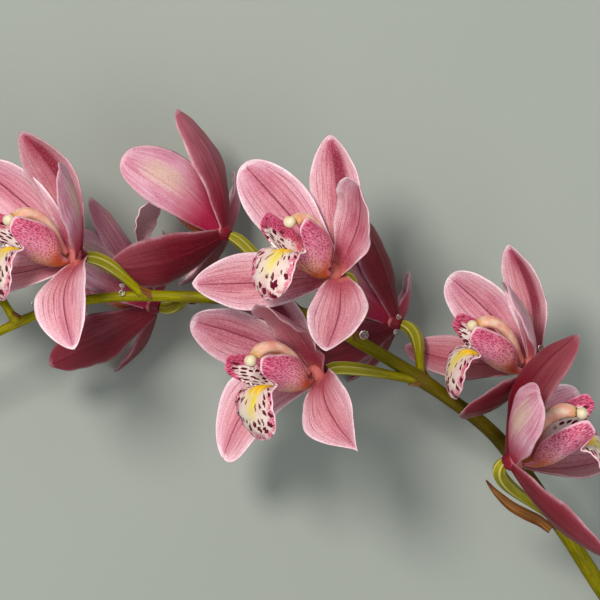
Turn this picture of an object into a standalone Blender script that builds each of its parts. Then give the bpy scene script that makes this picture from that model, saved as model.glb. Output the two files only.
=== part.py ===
# Cymbidium orchid stem, cut and lying on its side on a flat surface.
# One arching flower stem carries nine open blooms and two terminal buds.
# Lengths in the tables are millimetres; MM turns them into metres.
# X runs along the stem, Y across it and Z up from the surface that it lies on.

import math

import bpy
import numpy as np

MM = 0.001

# Taken off every point, so that the origin is on the floor under the middle of the whole spray
FRAME_SHIFT = np.array((1.3, -66.8, 0.0))
# Steps of a curve that others are measured along, and samples between its given points
FINE_STEPS = 400
CURVE_SAMPLES = 16
SHARP_ANGLE = 50

# Flower stem
STEM_PATH = (
    (-165, -36, 50), (-126, -13, 56), (-89, 0, 60), (-40, 1, 62), (0, -5.5, 62), (29, -20, 61.5),
    (59, -39, 59), (84, -59, 55), (108, -92, 46), (127, -121, 36), (145, -146, 25),
    (164, -174, 13.5), (188, -212, 3.9),
)
STEM_RADIUS_TIP = 1.7
STEM_RADIUS_MIDDLE = 2.7
STEM_RADIUS_BASE = 4.2
STEM_STEPS = 34
STEM_SIDES = 10
PEDICEL_RADIUS = 1.9
OVARY_RADIUS = 2.7
OVARY_END_RADIUS = 2.1
OVARY_RIB = 0.12
PEDICEL_STEPS = 8
PEDICEL_SIDES = 8
# Shares of a stalk where its ovary starts to swell and over which it does, and its two bends
OVARY_START = 0.25
OVARY_SWELL = 0.45
FIRST_BEND = 0.3
LAST_BEND = 0.35
LAST_BEND_MOST = 11

# Bloom
SEPAL_WIDTH = 25.5
DORSAL_WIDTH = 23.5
PETAL_WIDTH = 27.0
CLAW_SHARE = 0.30
SEPAL_WIDEST = 0.58
PETAL_WIDEST = 0.62
SEPAL_POINT = 0.62
PETAL_POINT = 0.42
BLADE_THICKNESS = 1.2
EDGE_THICKNESS = 0.7
TEPAL_CUP = 0.5
# Powers that shape how the outline swells from the claw and how the rows crowd at the claw
SWELL_POWER = 1.15
CROWDING = 1.3
BLADE_ROWS = 7
BLADE_COLUMNS = 4
HUB_FRONT = 3.5
HUB_BACK = -4.0
HUB_STATIONS = (HUB_BACK, -1.0, 0.8, HUB_FRONT)
HUB_RADII = (2.4, 4.0, 4.2, 3.2)
HUB_SIDES = 10
SEAT_GAP = 0.3
BEHIND_PETALS = 1.4
CLAW_START = 2.2

# Lip: its middle line as height over the throat axis and distance forward of the hub
LIP_LINE = ((-2.6, 3.8), (-4.0, 9), (-3, 16), (0, 23), (2.2, 28.5), (1.5, 33), (-4, 36.5), (-11, 37),
            (-15.8, 35.6), (-18.6, 33.2))
# At shares of that line: half the width round the curve, how far the edges turn up in radians,
# and how far the side lobes lean forward
LIP_SHARES = (0, 0.1, 0.2, 0.3, 0.36, 0.40, 0.425, 0.45, 0.52, 0.62, 0.72, 0.82, 0.91, 0.97)
LIP_HALF_WIDTHS = (2.8, 8.6, 20.5, 26.6, 27, 22, 16.5, 11, 10.4, 12.4, 12.8, 12, 9.2, 5)
LIP_TURNS = (1.2, 1.9, 2.0, 2.08, 2.05, 1.8, 1.35, 0.6, 0.1, -0.1, -0.3, -0.45, -0.5, -0.4)
LIP_LEANS = (0, 0, 0.25, 0.72, 0.93, 1.2, 1.45, 1.2, 0.3, 0, 0, 0, 0, 0)
LIP_THICKNESS = 1.0
LIP_STATIONS = (0, 0.11, 0.21, 0.30, 0.355, 0.39, 0.42, 0.45, 0.53, 0.64, 0.76, 0.89, 1)
LIP_COLUMNS = 8
LEAST_TURN = 0.05

# Column and its anther cap, in the same two measures
COLUMN_LINE = ((1.3, 4.9), (5.4, 8.4), (11.3, 12.8), (15.8, 18.6), (17.2, 24.6), (15.6, 28.9))
COLUMN_HALF_WIDTHS = (1.8, 2.8, 4.0, 4.6, 4.6, 3.4)
COLUMN_HALF_DEPTHS = (1.4, 2.2, 2.8, 3.2, 3.1, 2.3)
COLUMN_STEPS = 6
COLUMN_SIDES = 8
CAP_RADII = (2.9, 2.5, 2.4)
CAP_STEPS = 5
CAP_SIDES = 7

# Buds past the last bloom: where each starts, the way it points, its length and its stalk
BUD_RADIUS = 0.25
BUD_FLATNESS = 0.86
BUD_FROM = 0.12
BUD_TO = 0.96
BUD_FULLNESS = 0.85
BUD_STALK_SHARES = (0, 0.5, 0.9)
BUD_STALK_RADII = (1.3, 1.4, 1.8, 1.9)
BUD_STALK_BEND = 2.0
BUD_STEPS = 7
BUD_SIDES = 9
BUDS = {
    "bud_1": {"base": (-168, -38, 49.5), "points": (-0.84, -0.52, -0.05), "length": 24, "stalk": 0.012},
    "bud_2": {"base": (-158, -22, 58), "points": (-0.80, -0.12, 0.58), "length": 29, "stalk": 0.05},
}

# Dry bract that clasps the stem below the first bloom
BRACT_LINE = ((105.8, -97.0, 47.2), (101, -93.2, 49.5), (95, -90.2, 52), (88.5, -86.4, 55), (82, -80.5, 58),
              (78, -75.5, 60))
BRACT_WIDTH = 6.0
BRACT_THICKNESS = 0.8
BRACT_CURL = 1.3
BRACT_FROM = 0.22
BRACT_FULLNESS = 0.8
BRACT_TIP = 0.02
BRACT_ROWS = 9
BRACT_COLUMNS = 4

FLOOR = 0.0

# Each bloom: hub, the way the throat faces, the way its top points, its size, where its stalk
# leaves the flower stem as a share of the stem's length, and its five tepals.
# A tepal is tip offset from the hub, turn of its front away from straight up in degrees,
# bow of its middle line and sideways sway. A taper over the usual one makes its tip more pointed,
# one under it blunter.
BLOOMS = {
    "bloom_1": {
        "hub": (88, -66.5, 92), "faces": (0.97, 0.20, 0.14), "top": (-0.24, 0.89, 0.40),
        "size": 1.03, "stalk": 0.685, "neck": (0.70, 0.65, -0.25),
        "dorsal": ((26.5, 52, 8), -132, -6, 3), "petal_a": ((9, 28, 45), -119, -4, 1),
        "petal_b": ((30, 26, -38), -23, -6, 0), "lateral_a": ((37, -38, 24), 110, -4, 0),
        "lateral_b": ((44, 0, -34), 60, -4, 0),
    },
    "bloom_2": {
        "hub": (97, -28, 67), "faces": (-0.94, 0.13, 0.32), "top": (0.17, 0.97, 0.20),
        "size": 0.95, "stalk": 0.60,
        "dorsal": ((-10, 51, 6), 45, -6, 0), "petal_a": ((-12, 34, 40), 88, -4, 0),
        "petal_b": ((-34, 38, -18), 22, -5, 0), "lateral_a": ((-31, -19, 34), -110, -4, 0),
        "lateral_b": ((-53, 8, -26), -40, -4, 0),
    },
    "bloom_3": {
        "hub": (39.5, -9, 40), "faces": (-0.90, 0.30, -0.30), "top": (0.25, 0.95, 0.15),
        "size": 0.97, "stalk": 0.50,
        "dorsal": ((-17, 47, 8), 128, -4, 1), "petal_a": ((-38, 32, 20), 160, -4, 0),
        "petal_b": ((5, 14, -41), 90, -4, 0), "lateral_a": ((-47, -19, 4), -150, -4, 0),
        "lateral_b": ((-18, -25, -42), -90, -4, 0),
    },
    "bloom_4": {
        "hub": (7.5, -30.5, 74), "faces": (-0.77, -0.28, 0.58), "top": (-0.22, 0.96, 0.17),
        "size": 1.02, "stalk": 0.50,
        "dorsal": ((-34, 41, -2), 25, -4, 0), "petal_a": ((-22, 28, 45), 65, -4, 0),
        "petal_b": ((-53, 22, -6), 30, -4, 0), "lateral_a": ((16, -31, 46), -25, 5, -2),
        "lateral_b": ((-40, -36, -20), -12, -4, -11), "taper": {"lateral_a": 1.25, "lateral_b": 0.44},
    },
    "bloom_5": {
        "hub": (14.5, 11.5, 83), "faces": (-0.70, 0.20, 0.69), "top": (0.22, 0.97, -0.06),
        "size": 1.0, "stalk": 0.427,
        "dorsal": ((-2, 57, 2), 20, -5, 0), "petal_a": ((9, 36, 43), 48, -4, -1),
        "petal_b": ((-38, 45, 0), 8, -5, 0), "lateral_a": ((-4, -32, 46), -12, 2, 3),
        "lateral_b": ((-59, -5, 6), -12, -5, 0),
    },
    "bloom_6": {
        "hub": (-33, 28.5, 47), "faces": (-0.88, 0.37, -0.30), "top": (0.33, 0.92, 0.15),
        "size": 0.97, "stalk": 0.37,
        "dorsal": ((-19, 52, 2), 123, -7, 0), "petal_a": ((-41, 32, 18), 162, -4, -3),
        "petal_b": ((4, 21, -46.5), 90, -4, 0), "lateral_a": ((-48, -16, 20), -150, -4, 2),
        "lateral_b": ((-17, -20, -48), -90, -4, 0),
    },
    "bloom_7": {
        "hub": (-63, -2.5, 41), "faces": (-0.93, 0.15, -0.30), "top": (0.06, 0.97, 0.20),
        "size": 0.95, "stalk": 0.275,
        "dorsal": ((-26, 46, 0), 118, -7, 4.5), "petal_a": ((-38, 29, 18), 155, -4, 0),
        "petal_b": ((4, 29, -41.5), 90, -4, 0), "lateral_a": ((-43, -25, 4), -150, -4, -1),
        "lateral_b": ((-16, -27, -41.5), -90, -4, 0),
    },
    "bloom_8": {
        "hub": (-93, 18, 80), "faces": (-0.89, 0.01, 0.46), "top": (0.04, 1.00, 0.07),
        "size": 1.0, "stalk": 0.235,
        "dorsal": ((-23, 52, 1), 32, -6, -2), "petal_a": ((-5, 35, 44), 101, -4, 0),
        "petal_b": ((-42, 38, -18), 20, -4, 0), "lateral_a": ((1, -38, 42), -30, 5, -3),
        "lateral_b": ((-52, -8, -13), -40, -4, 0),
    },
    "bloom_9": {
        "hub": (-144, 16, 48), "faces": (-0.90, 0.30, -0.30), "top": (0.25, 0.95, 0.15),
        "size": 0.92, "stalk": 0.115,
        "dorsal": ((-19, 49, 1), 123, -7, 0), "petal_a": ((-37, 28, 22), 160, -4, 0),
        "petal_b": ((2, 25, -48), 90, -4, 0), "lateral_a": ((-43, -16, 22), -150, -4, 0),
        "lateral_b": ((-18, -20, -48), -90, -4, 0),
    },
}
# Width, share of the length where it is widest, bluntness of the tip and distance behind the hub
SEPAL_FORM = (SEPAL_WIDTH, SEPAL_WIDEST, SEPAL_POINT, BEHIND_PETALS)
DORSAL_FORM = (DORSAL_WIDTH, SEPAL_WIDEST, SEPAL_POINT, BEHIND_PETALS)
PETAL_FORM = (PETAL_WIDTH, PETAL_WIDEST, PETAL_POINT, 0.0)
TEPALS = {
    "dorsal": DORSAL_FORM, "lateral_a": SEPAL_FORM, "lateral_b": SEPAL_FORM,
    "petal_a": PETAL_FORM, "petal_b": PETAL_FORM,
}


def unit(vector):
    vector = np.asarray(vector, dtype=float)
    return vector / np.linalg.norm(vector)


def material(name, colour, roughness):
    made = bpy.data.materials.new(name)
    made.use_nodes = True
    shader = made.node_tree.nodes["Principled BSDF"]
    shader.inputs["Base Color"].default_value = (*colour, 1.0)
    shader.inputs["Roughness"].default_value = roughness
    shader.inputs["Metallic"].default_value = 0.0
    return made


def smooth_line(points, steps):
    """Points at even distances along a smooth curve through the given ones."""
    points = np.asarray(points, dtype=float)
    ends = np.vstack([2 * points[0] - points[1], points, 2 * points[-1] - points[-2]])
    dense = []
    for i in range(1, len(ends) - 2):
        a, b, c, d = ends[i - 1:i + 3]
        for u in np.linspace(0, 1, CURVE_SAMPLES, endpoint=False):
            dense.append(0.5 * (2 * b + (c - a) * u + (2 * a - 5 * b + 4 * c - d) * u ** 2
                                + (3 * b - a - 3 * c + d) * u ** 3))
    dense.append(ends[-2])
    dense = np.array(dense)
    reach = np.concatenate([[0], np.cumsum(np.linalg.norm(np.diff(dense, axis=0), axis=1))])
    wanted = np.linspace(0, reach[-1], steps + 1)
    return np.column_stack([np.interp(wanted, reach, dense[:, k]) for k in range(dense.shape[1])])


def new_object(name, vertices, faces, surface):
    mesh = bpy.data.meshes.new(name)
    mesh.from_pydata([tuple((v - FRAME_SHIFT) * MM) for v in vertices], [], faces)
    mesh.validate()
    mesh.shade_smooth()
    mesh.materials.append(surface)
    made = bpy.data.objects.new(name, mesh)
    bpy.context.scene.collection.objects.link(made)
    return made


def tube(name, centres, sections, surface, end_way=None):
    """A closed rod: sections[i] holds its ring of (across, over) offsets at centres[i]."""
    count = len(sections[0])
    tangents = np.gradient(centres, axis=0)
    if end_way is not None:
        tangents[-1] = end_way
    over = unit(np.cross(tangents[0], (0.3, 0.2, 1.0)))
    vertices = []
    for centre, tangent, ring in zip(centres, tangents, sections):
        tangent = unit(tangent)
        over = unit(over - tangent * np.dot(over, tangent))
        across = np.cross(over, tangent)
        for a, o in ring:
            vertices.append(centre + across * a + over * o)
    last = (len(centres) - 1) * count
    vertices.append(centres[0])
    vertices.append(centres[-1])
    faces = []
    for i in range(len(centres) - 1):
        for j in range(count):
            k = (j + 1) % count
            p = i * count
            faces.append((p + j, p + k, p + count + k, p + count + j))
    for j in range(count):
        k = (j + 1) % count
        faces.append((k, j, last + count))
        faces.append((last + j, last + k, last + count + 1))
    return new_object(name, vertices, faces, surface)


def ring(radius_across, radius_over, sides, rib=0.0):
    angles = [2 * math.pi * j / sides for j in range(sides)]
    swell = [1 + rib * (1 if j % 2 else -1) for j in range(sides)]
    return [(radius_across * s * math.cos(a), radius_over * s * math.sin(a))
            for a, s in zip(angles, swell)]


def sheet_normals(grid):
    along = np.gradient(grid, axis=0)
    across = np.gradient(grid, axis=1)
    normals = np.cross(across, along)
    size = np.linalg.norm(normals, axis=2, keepdims=True)
    return normals / np.maximum(size, 1e-9)


def sheet(name, grid, thickness, surface):
    """A thin closed blade over a grid of middle points whose last row is its tip.

    Both faces are split into triangles along the same diagonals, so that they never cross.
    """
    rows, columns = grid.shape[0] - 1, grid.shape[1]
    normals = sheet_normals(grid)
    half = thickness / 2
    front = (grid + normals * half[..., None])[:rows].reshape(-1, 3)
    back = (grid - normals * half[..., None])[:rows].reshape(-1, 3)
    tip = grid[rows].mean(axis=0)
    tip_normal = unit(normals[rows - 1].mean(axis=0)) * half[rows].mean()
    vertices = np.vstack([front, back, tip + tip_normal, tip - tip_normal])
    under = len(front)
    tips = (2 * under, 2 * under + 1)
    faces = []
    for i in range(rows - 1):
        for j in range(columns - 1):
            a = i * columns + j
            b, c, d = a + 1, a + columns + 1, a + columns
            for p, q, r in ((a, b, c), (a, c, d)):
                faces.append((p, q, r))
                faces.append((under + r, under + q, under + p))
    top = (rows - 1) * columns
    for j in range(columns - 1):
        faces.append((top + j, top + j + 1, tips[0]))
        faces.append((under + top + j + 1, under + top + j, tips[1]))
    rim = list(range(columns))
    rim += [i * columns + columns - 1 for i in range(1, rows)] + [None]
    rim += [i * columns for i in range(rows - 1, 0, -1)]
    for a, b in zip(rim, rim[1:] + rim[:1]):
        upper = [tips[0] if k is None else k for k in (a, b)]
        lower = [tips[1] if k is None else k + under for k in (a, b)]
        faces.append((upper[1], upper[0], lower[0]))
        faces.append((upper[1], lower[0], lower[1]))
    return new_object(name, list(vertices), faces, surface)


def outline(share, widest, point):
    """Half width of a tepal as a share of its widest, from its claw to its pointed tip."""
    if share < widest:
        return CLAW_SHARE + (1 - CLAW_SHARE) * math.sin(math.pi / 2 * share / widest) ** SWELL_POWER
    return max(0.0, math.cos(math.pi / 2 * (share - widest) / (1 - widest))) ** point


def tepal_grid(base, tip, form, size, turn, bow, sway):
    width, widest, point = form
    chord = tip - base
    along = unit(chord)
    out = unit(np.array((0.0, 0.0, 1.0)) - along * along[2])
    side = np.cross(out, along)
    turn = math.radians(turn)
    flank = side
    out, side = (out * math.cos(turn) + side * math.sin(turn),
                 side * math.cos(turn) - out * math.sin(turn))
    grid = []
    for i in range(BLADE_ROWS + 1):
        share = math.sin(math.pi / 2 * i / BLADE_ROWS) ** CROWDING
        arch = math.sin(math.pi * share)
        middle = base + chord * share + out * (bow * arch) + flank * (sway * arch)
        slope = bow * math.pi * math.cos(math.pi * share)
        normal = unit(out * np.linalg.norm(chord) - along * slope)
        half = width * size / 2 * outline(share, widest, point)
        row = []
        for j in range(BLADE_COLUMNS + 1):
            angle = TEPAL_CUP * (2 * j / BLADE_COLUMNS - 1)
            row.append(middle - side * (half * math.sin(angle) / TEPAL_CUP)
                       + normal * (half * (1 - math.cos(angle)) / TEPAL_CUP))
        grid.append(row)
    return np.array(grid)


def blade_thickness(rows, columns, thick, thin):
    table = np.empty((rows + 1, columns + 1))
    for i in range(rows + 1):
        for j in range(columns + 1):
            edge = max(abs(2 * j / columns - 1), i / rows)
            table[i, j] = thick + (thin - thick) * edge ** 3
    return table


def bloom_frame(pose):
    """Right, top and facing directions of a bloom, square to each other."""
    faces = unit(pose["faces"])
    top = np.asarray(pose["top"], dtype=float)
    top = unit(top - faces * np.dot(top, faces))
    return np.cross(top, faces), top, faces


def place(pose, right, top, forward):
    """A point of the bloom given by its own three measures, in the measuring frame."""
    x, y, z = bloom_frame(pose)
    size = pose["size"]
    return np.asarray(pose["hub"], dtype=float) + (x * right + y * top + z * forward) * size


def fuse(body, others):
    """Joins the other solids to the body and removes them."""
    group = bpy.data.collections.new(body.name + "_joined")
    bpy.context.scene.collection.children.link(group)
    for other in others:
        bpy.context.scene.collection.objects.unlink(other)
        group.objects.link(other)
    union = body.modifiers.new("join", "BOOLEAN")
    union.operation = "UNION"
    union.operand_type = "COLLECTION"
    union.collection = group
    union.solver = "MANIFOLD"
    apply_modifiers(body)
    for other in others:
        bpy.data.objects.remove(other)
    bpy.data.collections.remove(group)


def apply_modifiers(body):
    bpy.context.view_layer.update()
    shaped = bpy.data.meshes.new_from_object(
        body.evaluated_get(bpy.context.evaluated_depsgraph_get()))
    body.modifiers.clear()
    body.data = shaped
    shaped.shade_smooth()
    shaped.set_sharp_from_angle(angle=math.radians(SHARP_ANGLE))


def trim_to_floor(body):
    """Cuts a small flat spot where a tip would reach below the surface."""
    if min(v.co.z for v in body.data.vertices) >= FLOOR * MM:
        return
    side = 1.0
    bpy.ops.mesh.primitive_cube_add(size=side, location=(0, 0, FLOOR * MM - side / 2))
    below = bpy.context.object
    cut = body.modifiers.new("floor", "BOOLEAN")
    cut.operation = "DIFFERENCE"
    cut.object = below
    cut.solver = "MANIFOLD"
    apply_modifiers(body)
    bpy.data.objects.remove(below)


def make_hub(name, pose, surface):
    centres = np.array([place(pose, 0, 0, forward) for forward in HUB_STATIONS])
    rings = [ring(radius * pose["size"], radius * pose["size"], HUB_SIDES) for radius in HUB_RADII]
    return tube(name, centres, rings, surface)


def make_tepals(name, pose, surface):
    hub = np.asarray(pose["hub"], dtype=float)
    facing = bloom_frame(pose)[2]
    blades = []
    for kind, form in TEPALS.items():
        tip, turn, bow, sway = pose[kind]
        width, widest, point, behind = form
        point = pose.get("taper", {}).get(kind, point)
        tip = np.asarray(tip, dtype=float)
        outward = unit(tip - facing * np.dot(tip, facing))
        base = hub - facing * behind + outward * CLAW_START
        grid = tepal_grid(base, hub + tip, (width, widest, point), pose["size"], turn, bow, sway)
        thickness = blade_thickness(BLADE_ROWS, BLADE_COLUMNS, BLADE_THICKNESS, EDGE_THICKNESS)
        blades.append(sheet(name + "_" + kind, grid, thickness, surface))
    hub_body = make_hub(name, pose, surface)
    fuse(hub_body, blades)
    trim_to_floor(hub_body)
    return hub_body


def make_lip(name, pose, surface):
    line = smooth_line(LIP_LINE, FINE_STEPS)
    tangents = np.gradient(line, axis=0)
    grid = []
    for share in LIP_STATIONS:
        at = round(share * FINE_STEPS)
        height, forward = line[at]
        rise, run = tangents[at]
        half = np.interp(share, LIP_SHARES, LIP_HALF_WIDTHS)
        turn = np.interp(share, LIP_SHARES, LIP_TURNS)
        lean = np.interp(share, LIP_SHARES, LIP_LEANS)
        if abs(turn) < LEAST_TURN:
            turn = LEAST_TURN
        length = math.hypot(rise, run)
        up, ahead = run / length, lean - rise / length
        row = []
        for j in range(LIP_COLUMNS + 1):
            across = 2 * j / LIP_COLUMNS - 1
            x = half * math.sin(turn * across) / turn
            lift = half * (1 - math.cos(turn * across)) / turn
            row.append(place(pose, -x, height + up * lift, forward + ahead * lift))
        grid.append(row)
    thickness = np.full((len(LIP_STATIONS), LIP_COLUMNS + 1), LIP_THICKNESS)
    made = sheet(name, np.array(grid), thickness, surface)
    trim_to_floor(made)
    return made


def make_column(name, pose, surface):
    line = smooth_line(COLUMN_LINE, COLUMN_STEPS)
    shares = np.linspace(0, 1, len(COLUMN_LINE))
    across = bloom_frame(pose)[0]
    size = pose["size"]
    centres = np.array([place(pose, 0, height, forward) for height, forward in line])
    rings = []
    for i in range(COLUMN_STEPS + 1):
        share = i / COLUMN_STEPS
        rings.append(ring(size * np.interp(share, shares, COLUMN_HALF_WIDTHS),
                          size * np.interp(share, shares, COLUMN_HALF_DEPTHS), COLUMN_SIDES))
    return flat_rod(name, centres, rings, across, surface)


def flat_rod(name, centres, rings, across, surface):
    """A closed rod whose rings keep one direction across it."""
    tangents = np.gradient(centres, axis=0)
    count = len(rings[0])
    vertices = []
    for centre, tangent, points in zip(centres, tangents, rings):
        over = unit(np.cross(unit(tangent), across))
        vertices += [centre + across * a + over * o for a, o in points]
    last = (len(centres) - 1) * count
    vertices += [centres[0], centres[-1]]
    faces = []
    for i in range(len(centres) - 1):
        for j in range(count):
            k = (j + 1) % count
            p = i * count
            faces.append((p + j, p + k, p + count + k, p + count + j))
    for j in range(count):
        k = (j + 1) % count
        faces.append((k, j, last + count))
        faces.append((last + j, last + k, last + count + 1))
    return new_object(name, vertices, faces, surface)


def make_cap(name, pose, surface):
    end = np.array(COLUMN_LINE[-1])
    ahead = unit(end - np.array(COLUMN_LINE[-2]))
    centre = end + ahead * (SEAT_GAP / pose["size"] + CAP_RADII[2])
    across, top, forward = bloom_frame(pose)
    along = top * ahead[0] + forward * ahead[1]
    middle = place(pose, 0, centre[0], centre[1])
    size = pose["size"]
    centres, rings = [], []
    for i in range(1, CAP_STEPS):
        angle = math.pi * i / CAP_STEPS
        centres.append(middle - along * (CAP_RADII[2] * math.cos(angle) * size))
        rings.append(ring(CAP_RADII[0] * math.sin(angle) * size,
                          CAP_RADII[1] * math.sin(angle) * size, CAP_SIDES))
    made = flat_rod(name, np.array(centres), rings, across, surface)
    mesh = made.data
    poles = len(mesh.vertices)
    for pole, way in ((poles - 2, -1), (poles - 1, 1)):
        mesh.vertices[pole].co = (middle + along * (way * CAP_RADII[2] * size) - FRAME_SHIFT) * MM
    return made


def stem_radius(share):
    return float(np.interp(share, (0, 0.45, 1), (STEM_RADIUS_TIP, STEM_RADIUS_MIDDLE,
                                                 STEM_RADIUS_BASE)))


def pedicel_line(start, hub, facing, neck, steps):
    """A stalk that leaves the stem, bends along its neck and meets the back of its bloom."""
    end = hub + facing * (HUB_BACK - SEAT_GAP)
    reach = np.linalg.norm(end - start)
    first = start + unit(end - start) * reach * FIRST_BEND
    second = end - neck * min(reach * LAST_BEND, LAST_BEND_MOST)
    line = []
    for u in np.linspace(0, 1, steps + 1):
        v = 1 - u
        line.append(start * v ** 3 + first * 3 * v * v * u + second * 3 * v * u * u + end * u ** 3)
    return np.array(line)


def make_bud(name, pose, surface):
    base = np.asarray(pose["base"], dtype=float)
    way = unit(pose["points"])
    length = pose["length"]
    centres, rings = [], []
    for i in range(BUD_STEPS + 1):
        share = i / BUD_STEPS
        swell = math.sin(math.pi * (BUD_FROM + (BUD_TO - BUD_FROM) * share) ** BUD_FULLNESS)
        centres.append(base + way * (SEAT_GAP + length * share))
        radius = length * BUD_RADIUS * swell
        rings.append(ring(radius, radius * BUD_FLATNESS, BUD_SIDES))
    return tube(name, np.array(centres), rings, surface)


def make_bract(surface):
    line = smooth_line(BRACT_LINE, BRACT_ROWS)
    tangents = np.gradient(line, axis=0)
    upward = np.array((0.0, 0.0, 1.0))
    grid = []
    for i, (centre, tangent) in enumerate(zip(line, tangents)):
        share = i / BRACT_ROWS
        along = unit(tangent)
        side = unit(np.cross(upward, along))
        over = np.cross(along, side)
        spread = math.sin(math.pi * (BRACT_FROM + (1 - BRACT_FROM) * share)) ** BRACT_FULLNESS
        half = BRACT_WIDTH / 2 * spread + BRACT_TIP
        row = []
        for j in range(BRACT_COLUMNS + 1):
            angle = BRACT_CURL * (2 * j / BRACT_COLUMNS - 1)
            row.append(centre - side * (half * math.sin(angle) / BRACT_CURL)
                       + over * (half * (1 - math.cos(angle)) / BRACT_CURL))
        grid.append(row)
    thickness = np.full((BRACT_ROWS + 1, BRACT_COLUMNS + 1), BRACT_THICKNESS)
    return sheet("dry_bract", np.array(grid), thickness, surface)


def make_stem(surface):
    line = smooth_line(STEM_PATH, STEM_STEPS)
    rings = []
    for i in range(STEM_STEPS + 1):
        radius = stem_radius(i / STEM_STEPS)
        rings.append(ring(radius, radius, STEM_SIDES))
    body = tube("flower_stem", line, rings, surface)
    stalks = []
    fine = smooth_line(STEM_PATH, FINE_STEPS)
    for name, pose in BLOOMS.items():
        start = fine[int(FINE_STEPS * pose["stalk"])]
        hub = np.asarray(pose["hub"], dtype=float)
        size = pose["size"]
        facing = bloom_frame(pose)[2]
        neck = unit(pose.get("neck", facing))
        points = pedicel_line(start, hub, facing, neck, PEDICEL_STEPS)
        rings = []
        for i in range(PEDICEL_STEPS + 1):
            share = i / PEDICEL_STEPS
            swell = math.sin(math.pi / 2 * min(1, max(0, (share - OVARY_START) / OVARY_SWELL))) ** 2
            radius = PEDICEL_RADIUS + (OVARY_RADIUS - PEDICEL_RADIUS) * swell
            if i == PEDICEL_STEPS:
                radius = OVARY_END_RADIUS
            rings.append(ring(radius * size, radius * size, PEDICEL_SIDES, OVARY_RIB * swell))
        stalks.append(tube(name + "_stalk", points, rings, surface, facing))
    for name, pose in BUDS.items():
        start = fine[int(FINE_STEPS * pose["stalk"])]
        base = np.asarray(pose["base"], dtype=float)
        way = unit(pose["points"])
        points = np.array([start + (base - start) * u for u in BUD_STALK_SHARES] + [base])
        points[-2] = base - way * BUD_STALK_BEND
        rings = [ring(r, r, PEDICEL_SIDES) for r in BUD_STALK_RADII]
        stalks.append(tube(name + "_stalk", points, rings, surface))
    fuse(body, stalks)
    trim_to_floor(body)
    return body


def main():
    for old in list(bpy.data.objects):
        bpy.data.objects.remove(old)
    tepal = material("tepal_pink", (0.55, 0.17, 0.25), 0.45)
    lip = material("lip_white", (0.85, 0.70, 0.68), 0.4)
    column = material("column_cream", (0.85, 0.65, 0.45), 0.4)
    cap = material("cap_cream", (0.93, 0.89, 0.72), 0.4)
    green = material("stem_green", (0.22, 0.27, 0.04), 0.4)
    bud = material("bud_pink_green", (0.45, 0.25, 0.18), 0.5)
    brown = material("bract_brown", (0.35, 0.14, 0.04), 0.7)
    make_stem(green)
    make_bract(brown)
    for name, pose in BUDS.items():
        make_bud(name, pose, bud)
    for name, pose in BLOOMS.items():
        make_tepals(name + "_tepals", pose, tepal)
        make_lip(name + "_lip", pose, lip)
        make_column(name + "_column", pose, column)
        make_cap(name + "_anther_cap", pose, cap)


main()
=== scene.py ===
# Cymbidium orchid stem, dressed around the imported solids: nine blooms, two buds, a bract and nectar.
# Lengths in the tables are millimetres in the measuring frame of the solids; MM makes metres.

import math

import bpy
import numpy as np
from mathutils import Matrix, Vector


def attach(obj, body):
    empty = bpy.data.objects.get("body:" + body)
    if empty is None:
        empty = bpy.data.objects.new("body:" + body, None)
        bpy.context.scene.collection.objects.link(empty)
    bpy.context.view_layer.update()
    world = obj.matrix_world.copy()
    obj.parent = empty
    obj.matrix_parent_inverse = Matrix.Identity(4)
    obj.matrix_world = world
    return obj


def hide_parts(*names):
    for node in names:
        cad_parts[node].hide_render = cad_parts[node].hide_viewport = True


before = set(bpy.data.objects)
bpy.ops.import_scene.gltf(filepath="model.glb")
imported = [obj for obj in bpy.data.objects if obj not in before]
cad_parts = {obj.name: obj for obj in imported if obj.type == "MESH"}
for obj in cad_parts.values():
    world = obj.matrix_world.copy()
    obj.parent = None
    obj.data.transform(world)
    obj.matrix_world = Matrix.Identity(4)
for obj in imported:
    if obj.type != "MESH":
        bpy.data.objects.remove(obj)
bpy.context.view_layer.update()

MM = 0.001
FLOOR_SOFTNESS = 0.8
FRAME_SHIFT = np.array((1.3, -66.8, 0.0))

# Camera, straight above the spray
CAMERA_HEIGHT = 2060.0
SENSOR = 36.0
VIEW_WIDTH = 252.0
VIEW_DEPTH = 2000.0
PICTURE_SIZE = 600

# Flower stem, as in the solids
STEM_PATH = (
    (-165, -36, 50), (-126, -13, 56), (-89, 0, 60), (-40, 1, 62), (0, -5.5, 62), (29, -20, 61.5),
    (59, -39, 59), (84, -59, 55), (108, -92, 46), (127, -121, 36), (145, -146, 25),
    (164, -174, 13.5), (188, -212, 3.9),
)
STEM_RADII = ((0, 0.45, 1), (1.7, 2.7, 4.2))
# Painted shadow along the stem: how far it is darkened towards dark brown at shares of its length, where
# blooms shade it
STEM_PAINTED_SHADOWS = ((0, 0.40, 0.50, 0.64, 0.70, 0.80, 0.86, 1), (0.1, 0.1, 0.8, 1, 0.3, 0.3, 0.9, 1))
STEM_STEPS = 420
STEM_SIDES = 36
STEM_LENGTH = 468.0
FINE_STEPS = 400
# The rings on the stem, in shares of its length
BRACT_JOINT = 0.83
JOINT_RING = 0.006
JOINT_SWELL = 0.07
JOINT_REACH = 0.014

# Stalk and ovary of a bloom; how far along each change comes is a share of the stalk
STALK_RADIUS = 1.9
OVARY_RADIUS = 2.7
OVARY_END_RADIUS = 2.1
STALK_STEPS = 72
STALK_SIDES = 36
STALK_LEAVES = 0.3
STALK_ARRIVES = 0.35
STALK_ARRIVES_MOST = 11
OVARY_FROM = 0.25
OVARY_OVER = 0.45
OVARY_ENDS = 0.88
RIB_DEPTH = 0.085
FOOT_FLARE = 0.35
FOOT_REACH = 4.2
RING_AT = 3.4
RING_WIDTH = 0.9

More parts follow.
